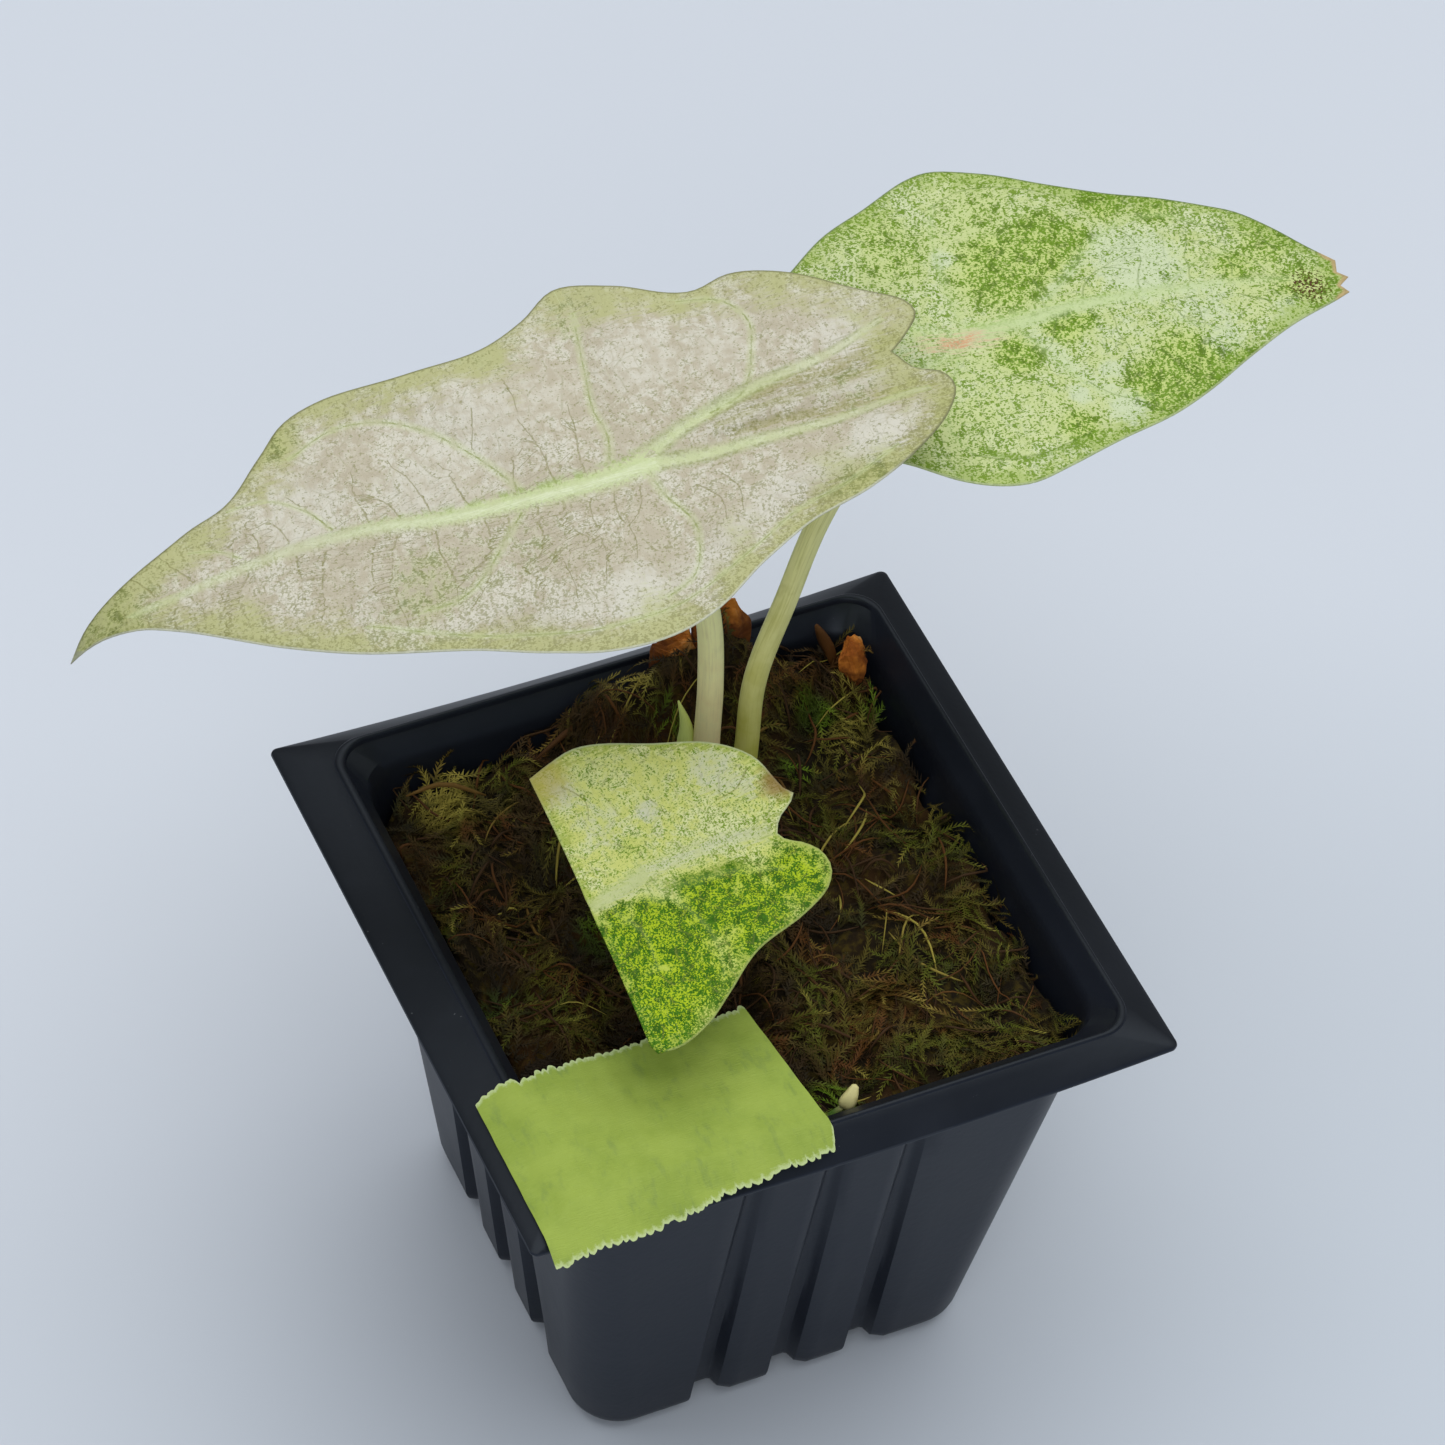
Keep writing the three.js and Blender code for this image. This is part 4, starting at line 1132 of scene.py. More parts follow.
def outlineOf(look, spacing):
    runs = look["runs"]
    line = np.vstack([smoothRun([runs[k - 1][-1], *runs[k]], spacing) for k in range(len(runs))])
    x, y = line[:, 0], line[:, 1]
    area = np.sum(x * np.roll(y, -1) - np.roll(x, -1) * y)
    return line[::-1] if area < 0 else line


# how far along the stretch from a to b points lie, free and held to its ends, and how far off it
def besideStretch(u, v, a, b):
    d = b - a
    free = ((u - a[0]) * d[0] + (v - a[1]) * d[1]) / (d @ d)
    held = np.clip(free, 0, 1)
    return free, held, np.hypot(u - a[0] - held * d[0], v - a[1] - held * d[1])


# how far points lie from a curve: signed, over the curve's half width there, and plain
def besideCurve(u, v, curve, startWidth=1.0, endWidth=1.0):
    line = smoothRun(curve, 1.0, keepEnd=True)
    best = np.full(u.shape, 1e9)
    value = np.full(u.shape, blade["beyond"])
    total = len(line) - 1
    for i in range(total):
        a, b = line[i], line[i + 1]
        free, held, far = besideStretch(u, v, a, b)
        side = np.sign((b - a)[0] * (v - a[1]) - (b - a)[1] * (u - a[0]))
        width = lerp(startWidth, endWidth, (i + held) / total)
        outside = ((i == 0) & (free < 0)) | ((i == total - 1) & (free > 1))
        nearer = far < best - 1e-9
        value = np.where(nearer, np.where(outside, blade["beyond"], side * far / width), value)
        best = np.where(nearer, far, best)
    return value, best


# fine dark veins that leave the midrib in two rows, each with one twig
def threadRows(look):
    start, end, spacing, seed = look["threadRows"]
    rng = np.random.default_rng(seed)
    spine = smoothRun(look["midrib"], 1.0, keepEnd=True)
    curves = []
    for side in (-1, 1):
        along = start + spacing * rng.uniform(0, 1)
        while along < end:
            root = spine[np.argmin(np.abs(spine[:, 0] - along))]
            heading = side * math.radians(rng.uniform(62, 100))
            path = [root + np.array([0, 0.9 * side])]
            joints = rng.uniform(3, 5.6) * (1 - along / end * 0.45) + (1 if side < 0 else 2.6)
            for _ in range(int(joints)):
                heading += rng.normal(0, 0.26)
                path.append(path[-1] + 2.3 * np.array([math.cos(heading), math.sin(heading)]))
            curves.append((path, 0.15 if side < 0 else 0.18, 0.06))
            turn = heading + rng.choice([-1, 1]) * rng.uniform(0.5, 0.9)
            fork = path[len(path) // 2]
            twig = fork + 2.6 * np.array([math.cos(turn), math.sin(turn)])
            curves.append(([fork, twig], 0.1, 0.04))
            along += spacing * rng.uniform(0.7, 1.4)
    return curves


def bladeBend(look, u, v):
    forward, back, sideways = look["bend"]
    tipFrom, tip = look.get("tipCurl", (0, 0))
    fall = forward * np.maximum(u, 0) ** 2 + back * np.minimum(u, 0) ** 2 + sideways * v**2
    return -fall - tip * np.maximum(u - tipFrom, 0) ** 2


# height of the upper face, and how far each point lies from the nearest vein and from the midrib
def leafRelief(look, u, v):
    size, count, phase = look["waves"]
    reach = np.hypot(u, v)
    out = np.minimum(reach / 30, 1)
    lift = bladeBend(look, u, v) + size * out * out * np.sin(count * np.arctan2(v, u) + phase)
    _, rib = besideCurve(u, v, look["midrib"])
    near = rib
    for curve, start, _ in look["veins"]:
        _, far = besideCurve(u, v, curve)
        near = np.minimum(near, far)
        depth, width = blade["groove"]
        lift = lift - depth * (start / 0.3) ** 0.5 * swell(far, width)
    puff, width = blade["puff"]
    lift = lift + puff * (1 - swell(near, width)) * smooth(reach, 2, 12)
    crest, width = blade["midribCrest"]
    gutter, gutterWidth, off = blade["midribGutters"]
    lift = lift + crest * swell(rib, width) - gutter * swell(rib - off, gutterWidth)
    for curve, height, width in look["pleats"]:
        lift = lift + height * swell(besideCurve(u, v, curve)[1], width) * smooth(reach, 3, 12)
    return lift, near, rib


# rings of a blade: out over its top, round the edge and back below
def bladeRings(look, outline, count):
    shares = [((i + 1) / count) ** blade["ringEase"] for i in range(count)]
    size = len(outline)
    plan = np.concatenate([outline * share for share in shares])
    top, near, rib = leafRelief(look, plan[:, 0], plan[:, 1])
    share = np.repeat(shares, size)
    (ribHeight, ribWidth), (veinHeight, veinWidth) = blade["midribBelow"], blade["veinsBelow"]
    ribs = ribHeight * swell(rib, ribWidth) + veinHeight * swell(near, veinWidth)
    under = top - lerp(*blade["thick"], share**6) - ribs * (1 - smooth(share, 0.9, 1.0))
    edge = outline * (1 + blade["edgeBulge"] / np.linalg.norm(outline, axis=1)[:, None])
    rim = np.column_stack([edge, (top[-size:] + under[-size:]) / 2])
    above, below = (np.column_stack([plan, z]).reshape(count, size, 3) for z in (top, under))
    return np.concatenate([above, rim[None], below[::-1]])


def makeLeaf(look):
    outline = outlineOf(look, unlessQuick(*blade["spacing"]))
    count = unlessQuick(*blade["rings"])
    rings = bladeRings(look, outline, count)
    turns = [Matrix.Rotation(math.radians(angle), 3, axis) for angle, axis in zip(look["turn"], "ZYX")]
    tilt = np.array(turns[0] @ turns[1] @ turns[2])
    base = np.array(look["at"])
    top = float(leafRelief(look, np.zeros(1), np.zeros(1))[0][0])
    poles = [tuple(base + tilt @ np.array([0, 0, z])) for z in (top, top - blade["poleDepth"])]
    piece = skin(look["name"], rings @ tilt.T + base, *poles)
    ring, place = takeRings(piece)
    inner = (ring >= 0) & (ring < len(rings))
    u, v = np.zeros((2, len(ring)))
    u[inner], v[inner] = rings[ring[inner], place[inner], :2].T
    side = np.where(ring < 0, 1.0, 0.0)
    side[inner] = np.repeat([1.0, 0.5, 0.0], [count, 1, count])[ring[inner]]
    markBlade(piece, look, outline, u, v)
    markPoints(piece, topSide=side)
    return piece


# what the finish reads: the place on the blade, and how far off the edge, the veins and the strokes are
def markBlade(piece, look, outline, u, v):
    uvMark(piece, "blade", u / blade["uvSize"], v / blade["uvSize"])
    rounded = zip(outline, np.roll(outline, -1, axis=0))
    markPoints(piece, inward=np.min([besideStretch(u, v, a, b)[2] for a, b in rounded], axis=0))
    markPoints(piece, rib=besideCurve(u, v, look["midrib"], *look["ribWidth"])[0])
    markPoints(piece, **{f"vein{k}": besideCurve(u, v, *vein)[0] for k, vein in enumerate(look["veins"])})
    # strokes of one colour share an attribute that holds the nearest one's value
    threads = [(curve, 0.13, 0.06) for curve in look["threads"]] + threadRows(look)
    for name, curves in {"thread": threads, "olive": look["olive"], "whiteAndHighlight": look["whiteAndHighlight"]}.items():
        value = np.full(u.shape, blade["beyond"])
        for curve in curves:
            now = besideCurve(u, v, *curve)[0]
            value = np.where(np.abs(now) < np.abs(value), now, value)
        markPoints(piece, **{name: value if name == "thread" else np.abs(value)})
    for name, spots in (("green", "patches"), ("pale", "pale"), ("deep", "deep")):
        markPoints(piece, **{name: nearSpots(u, v, look.get(spots, []), 0.35, 1.45)})


def nearest(marks):
    least = marks[0]
    for one in marks[1:]:
        least = least.under(one)
    return least


# the finish of a blade, one method for each of its layers
class BladePaint(Paint):
    def __init__(self, look):
        super().__init__(look["name"] + "Skin")
        self.look = look
        self.plan = self.uv("blade")
        self.along, self.across = self.axis(self.plan, "X"), self.axis(self.plan, "Y")
        self.inward = self.mark("inward")
        warp = self.noise(self.plan, 18, 1, out="Color", space="2D")
        settings = {"operation": "MULTIPLY_ADD"}
        self.bent = self.add("ShaderNodeVectorMath", settings, {0: warp, 1: (0.02, 0.02, 0), 2: self.plan})
        self.broad = self.flat(self.plan, 11)
        self.medium = self.flat(self.bent, 55, 3, 0.65)
        self.grain = self.flat(self.plan, 230 * look["grain"], 2, 0.65)
        self.dash = self.flat(self.scaled(self.plan, 1.0, 2.4), 250 * look["grain"], 1)
        self.cluster = self.flat(self.plan, 85 * look["grain"], 2, 0.5)
        self.loose = (self.medium - 0.5) * 2
        self.streak = self.flat(self.scaled(self.plan, 0.25, 2.2), 130) - 0.5

    def flat(self, vector, scale, detail=2, rough=0.6):
        return self.noise(vector, scale, detail, rough, space="2D")

    def away(self, spot, source):
        inputs = {0: source, 1: [value / blade["uvSize"] for value in (*spot, 0)]}
        return self.add("ShaderNodeVectorMath", {"operation": "DISTANCE"}, inputs, out="Value")

    # lines of a net of the given fineness
    def net(self, scale, width):
        return self.cells(self.bent, scale, "DISTANCE_TO_EDGE", "2D").step(width, 0.0)

    # the blade's colour with patches and paler windows, and strokes of white and olive drawn out along it;
    # on leafLeft those strokes are mostly painted highlight and painted shade along the pleats
    def ground(self):
        look, loose, medium = self.look, self.loose, self.medium
        self.patch = (self.mark("green") + loose * 0.45).step(0.1, 0.9)
        window = (self.mark("pale") + loose * 0.5).step(0.1, 0.9)
        # white strokes: pale veins on the other leaves, and on leafLeft mostly painted highlights
        whiteAndHighlight = (self.mark("whiteAndHighlight") + loose * 1.0 + self.streak * 3.0).step(1.5, 0.1) * (0.3 + medium * 0.8)
        self.pale = window.over(whiteAndHighlight)
        # olive strokes: on leafLeft painted shade along the pleats
        self.olive = (self.mark("olive") + loose * 0.5 + self.streak * 3.4).step(1.5, 0.2)
        # the margin comes and goes, with fine lines that run along it
        width = look["marginWidth"]
        self.wander = self.inward + loose * 2.2 + (self.broad - 0.5) * width * 3.5 + self.streak * 5
        self.margin = self.wander.step(width * 1.7, 0.0)
        first, second, third = look["ground"]
        return self.coats(
            self.mix(medium.step(0.36, 0.62), first, second),
            ((self.broad * 0.6 + medium * 0.5).step(0.52, 0.68), third),
            (self.patch, look["patchGround"]),
            (self.pale, look["paleTint"]),
            (self.olive * (0.25 + self.grain * 0.6), look["oliveAndShadeTint"]),
            (self.margin * 0.7, look["margin"]),
        )

    # speckles gather in the green patches, the strokes of olive and the margin, and leave the pale parts
    def speckled(self, colour):
        look, cluster = self.look, self.cluster - 0.5
        deepSpot = (self.mark("deep") + self.loose * 0.9 + cluster * 1.2).step(0.4, 1.1)
        density = look["dense"] + self.patch * 0.3 - self.pale * 0.26 + self.loose * 0.6
        density = density + (self.broad - 0.5) * 0.5 + self.olive * 0.2 + self.margin * look["marginDense"]
        # more speckles toward the near half, partly painted shade
        density = density + self.across * look["nearSpecksAndShade"] + deepSpot * 0.5 + cluster * 1.5
        speck = (self.grain * 0.6 + self.dash * 0.4 - 0.61 + density * 0.2).step(-0.012, 0.016)
        dark = self.mix(self.patch, look["speck"], look["speckDeep"])
        deepest = [value * 0.7 for value in look["speckDeep"]]
        deep = (self.dash * 0.35 + self.medium * 0.65).step(0.52, 0.6) * self.patch
        ripple = self.add("ShaderNodeMath", {"operation": "SINE"}, [self.wander * 3.4])
        edgeLines = ripple.step(0.8, 1.0) * self.inward.step(4.2, 1.2) * self.broad.step(0.42, 0.58)
        colour = self.coats(colour, (speck * look["speckAmount"], dark), (deep * 0.6, deepest))
        return self.mix(edgeLines * 0.4, colour, look["thread"])

    # a net of the finest veins, dark threads, and side veins as thin broken lines in soft pale bands
    def veined(self, colour):
        look, loose, medium, strength = self.look, self.loose, self.medium, self.look["veinStrength"]
        grain = self.grain - 0.5
        net = self.net(22, 0.05) * medium.step(0.42, 0.6)
        fine = self.net(75, 0.09) * self.broad.step(0.4, 0.56)
        self.thread = abs(self.mark("thread") + loose * 2.4 + grain * 1.4).step(1.2, 0.4)
        beside = [abs(self.mark(f"vein{number}")) for number in range(len(look["veins"]))]
        wide, soft = nearest(beside[:look["rearRibs"]]), nearest(beside[look["rearRibs"]:])
        ribAway = abs(self.mark("rib"))
        self.veins = soft.under(ribAway).under(wide)
        halo = (soft.under(ribAway * 2.4).under(wide * 1.6) + loose * 1.2).step(3.8, 0.8)
        border = (wide + loose * 0.6).step(2.3, 1.3) * wide.step(0.5, 1.1) * medium.step(0.35, 0.6)
        band = (wide + loose * 0.8 + grain * 1.4).step(1.4, 0.2) * self.along.step(-0.42, -0.04)
        line = (soft + loose * 0.9 + grain * 2.2).step(0.85, 0.15) * medium.step(0.3, 0.66)
        return self.coats(
            colour,
            ((net * 0.35).over(fine * 0.22), look["thread"]),
            (self.thread * (0.05 + medium), look["thread"]),
            (halo * 0.38 * strength, look["rib"]),
            (border * 0.55 * strength, look["vein"]),
            (band * 0.7 * strength, look["rib"]),
            (line * strength, look["vein"]),
        )

    # midrib: a pale band with a brighter line in it and a green border along its far side
    def ribbed(self, colour):
        look, medium, side = self.look, self.medium, self.look["rimSide"]
        rib = self.mark("rib")
        ribAway = abs(rib)
        near, far = look["ribFade"]
        clear = (0.12 + self.along.step(far, near) * 0.88) * look["ribStrength"]
        edge = (rib * side - 0.6 + (medium - 0.5) * 1.6).step(0.0, 0.4) * ribAway.step(2.0, 1.0)
        band = (abs(rib - 0.2 * side) + (self.grain - 0.5) * 1.2 + self.loose * 0.3).step(1.15, 0.5)
        strand = self.flat(self.scaled(self.plan, 0.16, 3.0), 260, 1).step(0.4, 0.62)
        core = (ribAway + (self.dash - 0.5) * 0.6).step(0.62, 0.1)
        knot = self.away(blade["knotAt"], self.plan).step(0.03, 0.004)
        return self.coats(
            colour,
            (edge * clear * medium.step(0.4, 0.6), look["ribEdge"]),
            (band * clear * (0.6 + medium * 0.8), look["rib"]),
            (core * clear * (0.3 + strand * 0.7), look["ribCore"]),
            (knot * look["knot"], look["rib"]),
        )

    # edge: a painted highlight on the near side, painted shade on the far side, and none where it was cut
    def edged(self, colour):
        look = self.look
        behind = self.along.step(look["rimAlong"] + 0.03, look["rimAlong"] - 0.03)
        far = (self.across * look["rimSide"]).step(-0.01, 0.03).over(behind)
        mask = self.inward.step(0.3, 0.08)
        if "cutEdge" in look:
            mask = mask * self.along.step(look["cutEdge"] + 0.012, look["cutEdge"])
        colour = self.mix(mask * 0.75, colour, self.mix(far, look["rimHighlight"], look["rimShade"]))
        for spot, reach, strength, brown in look.get("browned", []):
            near = (self.away(spot, self.plan) + self.loose * 0.01).step(*reach)
            colour = self.mix(near * strength, colour, brown)
        return colour

    # blush where the stalk joins
    def blushed(self, colour):
        blush, loose, streak = self.look["blush"], self.loose, self.streak
        node = self.away(blush["at"], self.scaled(self.plan, 0.45, 1.4))
        wide = (node + loose * 0.014 + streak * 0.08).step(0.032, 0.004)
        core = (node + loose * 0.008 + streak * 0.05 + (self.grain - 0.5) * 0.05).step(0.018, 0.0)
        core = core * self.grain.step(0.3, 0.62)
        return self.coats(colour, (wide * 0.7, blush["wide"]), (core, blush["core"]))

    # brown flecks and a dry torn tip
    def torn(self, colour):
        tip = self.look["tornTip"]
        near = self.away(tip["at"], self.plan)
        flecks = (near.step(0.034, 0.008) * 0.1 + self.grain * 0.6 + self.dash * 0.4).step(0.59, 0.63)
        dry = (self.inward + self.loose * 0.3).step(0.7, 0.2) * self.along.step(0.5, 0.51)
        return self.coats(colour, (flecks * near.step(0.034, 0.026), tip["fleck"]), (dry, tip["dry"]))


def leafPaint(look):
    paint = BladePaint(look)
    colour = paint.edged(paint.ribbed(paint.veined(paint.speckled(paint.ground()))))
    if "tornTip" in look:
        colour = paint.torn(paint.blushed(colour))
    # underside: paler and plainer
    below = paint.mix(paint.medium.step(0.3, 0.7), look["under"], look["ground"][1])
    below = paint.mix(paint.veins.step(1.6, 0.6) * 0.8, below, look["ribCore"])
    colour = paint.mix(paint.mark("topSide").step(0.2, 0.6), below, colour)
    rough = 0.48 + paint.loose * 0.1 - paint.pale * 0.08
    bump = paint.bump(paint.flat(paint.plan, 150, 2, 0.7) + paint.thread * -0.3, 0.00026)
    return paint.finish(colour, rough, bump, look["gloss"], through=blade["through"])


# Stalks
stalks = {
    "petioleLeft": {
        "node": "petiole_left",
        "slot": "stalk_cream",
        "path": [(3, 10.4, 57.5), (3.1, 11.3, 66), (4.1, 14.2, 82.9), (5.2, 16.4, 92.5), (5.3, 18.6, 103),
                 (2.6, 21.4, 116), (-2.5, 23.5, 129)],
        "radii": [1.9, 1.85, 1.7, 1.65, 1.6, 1.6],
        "low": (218, 184, 134),
        "high": (250, 253, 188),
        "streak": (206, 200, 152),
        "grooves": 5,
    },
    "petioleRight": {
        "node": "petiole_right",
        "slot": "stalk_green",
        "path": [(6.4, 8.6, 57.5), (6.9, 9.6, 66), (9.8, 13.9, 79.8), (12, 17.1, 89.5),
                 (17.4, 20.4, 99.5), (23.1, 23.6, 109.4), (32.5, 26.9, 120), (43.9, 29.8, 126.2)],
        "radii": [1.65, 1.6, 1.55, 1.5, 1.45, 1.4, 1.1],
        "low": (166, 164, 4),
        "high": (246, 246, 180),
        "streak": (170, 170, 74),
        "grooves": 5,
    },
    "petioleFront": {
        "node": "petiole_front",
        "slot": "stalk_green",
        "path": [(3.2, 6, 57.5), (3, 5.4, 66), (1.4, 3.4, 74), (-3.4, -1.2, 82), (-9.6, -6.4, 87.2),
                 (-15.8, -11.2, 90.4)],
        "radii": [1.5, 1.45, 1.35, 1.3, 1.0],
        "low": (150, 156, 72),
        "high": (170, 180, 96),
        "streak": (134, 140, 62),
        "grooves": 5,
    },
    "newShoot": {
        "node": "new_shoot",
        "slot": "shoot",
        "path": [(-0.2, 12, 57.5), (0.2, 13, 66), (1.6, 15.3, 80), (1.9, 16, 85.4), (1.0, 16.9, 89.9)],
        "radii": [1.3, 1.3, 1.25, 1.25, 1.15, 0.12],
        "low": (190, 214, 0),
        "high": (214, 226, 130),
        "streak": (182, 200, 80),
        "grooves": 3,
    },
}


def makeStalk(name, look):
    line = smoothRun(look["path"], 1.1, keepEnd=True)
    along = np.linspace(0, 1, len(line))
    radii = np.interp(along, np.linspace(0, 1, len(look["radii"])), look["radii"])
    turns = roundTurns(26)
    grooved = 1 + 0.018 * np.cos(look["grooves"] * turns + along[:, None] * 2) + 0.03 * np.cos(2 * turns)
    rings = tubeRings(line, np.cross(line[1] - line[0], (0, 1, 0.2)), radii[:, None] * grooved)
    piece = skin(name, rings, tuple(line[0]), tuple(line[-1]))
    ring, place = takeRings(piece)
    markPoints(piece, along=along[np.clip(ring, 0, len(rings) - 1)])
    markPoints(piece, turnX=np.cos(turns[place]), turnY=np.sin(turns[place]))
    return piece


def stalkPaint(name, look):
    paint = Paint(name + "Skin")
    along = paint.mark("along")
    spot = [paint.mark("turnX"), paint.mark("turnY"), along * 3.0]
    roundAbout = paint.add("ShaderNodeCombineXYZ", {}, spot)
    streak = paint.noise(roundAbout, 5.5, 3, 0.6)
    where = paint.where()
    mottle = paint.noise(where, 260, 3, 0.6)
    fine = paint.noise(where, 1100, 2)
    base = paint.coats(
        paint.mix((along + (mottle - 0.5) * 0.3).step(0.05, 0.75), look["low"], look["high"]),
        (streak.step(0.45, 0.75) * 0.4, look["streak"]),
        (mottle.step(0.56, 0.72) * 0.3, look["streak"]),
    )
    bump = paint.bump(streak * 0.6 + mottle * 0.3 + fine * 0.15, 0.0001)
    return paint.finish(base, 0.4 + mottle * 0.12, bump, 0.2, through=0.15)


# Label tape
tape = {
    "grid": ((300, 60), (120, 30)),  # full and quick
    "left": -42.8,
    "rightFront": -2.0,
    "rightBack": -5.6,
    "front": -46.9,
    "frontSlant": 2.6,
    "cornerCut": 2.2,
    "back": -20.9,
    "inside": -37.6,  # where it leaves the flange and lies free
    "uvSize": 40,
    "teeth": 34,
    "wanders": 11,
    "fibres": 150,
    "notch": (0.17, 0.02, 0.7),  # in the back end: place, width, depth
    "lift": 0.4,
    "thick": 0.16,
    "hump": 0.5,
    "lime": (160, 182, 76),
    "limeDeep": (144, 168, 64),
    "crepe": (178, 200, 104),
    "worn": (122, 146, 74),
    "pulp": (128, 152, 60),
    "fibre": (206, 222, 170),
}


def flangeTop(x, y):
    lipX = pot["lipCentre"] - pot["lipHalf"][0]
    left = (lipX - x) / (pot["rimHalf"] + lipX)
    front = (-pot["lipHalf"][1] - y) / (pot["rimHalf"] - pot["lipHalf"][1])
    return pot["lipZ"] - (pot["lipZ"] - pot["rimZ"]) * np.maximum(np.maximum(left, front), 0)


# a torn end: small uneven scallops from the cutter on a wandering line, with ragged fibres
def tornEnd(a, seed):
    draw = np.random.default_rng(seed)
    at = np.cumsum(draw.uniform(0.5, 1.5, tape["teeth"]))
    at = (at - at[0]) / (at[-1] - at[0])
    size = draw.uniform(0.2, 0.8, tape["teeth"])
    number = np.clip(np.searchsorted(at, a, side="right") - 1, 0, tape["teeth"] - 2)
    within = (a - at[number]) / (at[number + 1] - at[number])
    out = size[number] * np.sqrt(np.clip(1 - (2 * within - 1) ** 2, 0, 1))
    for count, reach in ((tape["wanders"], 0.5), (tape["fibres"], 0.13)):
        out = out + np.interp(a, np.linspace(0, 1, count), draw.uniform(-reach, reach, count))
    return out


def makeTape():
    columns, rows = unlessQuick(*tape["grid"])
    deselect()
    bpy.ops.mesh.primitive_grid_add(x_subdivisions=columns, y_subdivisions=rows, size=2)
    piece = bpy.context.object
    piece.name = piece.data.name = "labelTape"
    spots = points(piece)
    a, b = (spots[:, 0] + 1) / 2, (spots[:, 1] + 1) / 2
    corner = tape["cornerCut"] * smooth(a, 0.95, 1) ** 2
    front = tape["front"] + tape["frontSlant"] * a + corner - tornEnd(a, 3)
    notchAt, notchWidth, notchDepth = tape["notch"]
    notch = 0.4 * (1 - smooth(a, 0, 0.04)) + notchDepth * swell(a - notchAt, notchWidth)
    back = tape["back"] + tornEnd(a, 8) - notch
    y = lerp(front, back, b)
    toBack = (y - tape["front"]) / (tape["back"] - tape["front"])
    x = lerp(tape["left"], lerp(tape["rightFront"], tape["rightBack"], toBack), a)
    free = smooth(y, -pot["lipHalf"][1], tape["back"]) * smooth(x, tape["inside"], tape["rightBack"])
    crease = 0.05 * np.sin(x * 1.9 + 0.6 * np.sin(y * 0.7)) + 0.05 * np.sin(y * 1.3 + x * 0.35)
    z = flangeTop(x, y) + tape["lift"] + tape["hump"] * free + crease
    piece.data.vertices.foreach_set("co", (np.stack([x, y, z], 1) * mm).ravel())
    markPoints(piece, tornEnd=np.minimum(y - front, back - y))
    uvMark(piece, "roll", x / tape["uvSize"], y / tape["uvSize"])
    body = piece.modifiers.new("body", "SOLIDIFY")
    body.thickness = tape["thick"] * mm
    body.offset = 1
    bpy.ops.object.modifier_apply(modifier=body.name)
    bpy.ops.object.shade_smooth_by_angle(angle=math.radians(50))
    return piece


def tapePaint():
    paint = Paint("labelPaper")
    roll = paint.uv("roll")
    crepe = paint.noise(paint.scaled(roll, 30, 220), 1.0, 3, 0.6)
    cloud = paint.noise(roll, 5, 4, 0.6)
    fibre = paint.noise(roll, 130, 3, 0.7)
    brushed = paint.noise(paint.scaled(roll, 26, 9), 1.0, 3, 0.65)
    torn = (paint.mark("tornEnd") + (fibre - 0.5) * 1.2).step(0.8, 0.1)
    base = paint.coats(
        paint.mix(cloud.step(0.35, 0.7), tape["lime"], tape["limeDeep"]),
        (crepe.step(0.5, 0.8) * 0.25, tape["crepe"]),
        (brushed.step(0.5, 0.68) * cloud.step(0.38, 0.58) * 0.45, tape["worn"]),
        (fibre.step(0.6, 0.75) * 0.14, tape["pulp"]),
        (torn * 0.7, tape["fibre"]),
    )
    bump = paint.bump(crepe * 0.8 + cloud * 0.6 + fibre * 0.2, 0.00018, 0.6)
    return paint.finish(base, 0.66 - cloud * 0.12, bump, 0.35, through=0.2)


# Bits of bark
# each chip turns darker towards its bottom, below the heights its last entry gives, in metres
chips = {
    "barkBack": {
        "node": "bark_chip_back",
        "at": (16.4, 36.2, 73.6),
        "size": (4.7, 2.2, 9),
        "turn": (6, -12),  # heading, lean
        "seed": 8,
        "darkensBelow": (0.0825, 0.0765),
    },
    "barkSide": {
        "node": "bark_chip_side",
        "at": (9.8, 35.4, 72.4),
        "size": (3.8, 2, 8),
        "turn": (-8, -8),
        "seed": 17,
        "darkensBelow": (0.081, 0.077),
    },
    "barkCorner": {
        "node": "bark_chip_corner",
        "at": (34.4, 32, 69.2),
        "size": (2.7, 1.7, 3.5),
        "turn": (40, -20),
        "seed": 12,
        "darkensBelow": (0.0705, 0.067),
    },
}
bark = {
    "breaks": 26,
    "orange": (150, 78, 18),
    "light": (206, 126, 44),
    "layer": (104, 56, 16),
    "pale": (234, 186, 118),
    "lowerDark": (78, 38, 10),
}


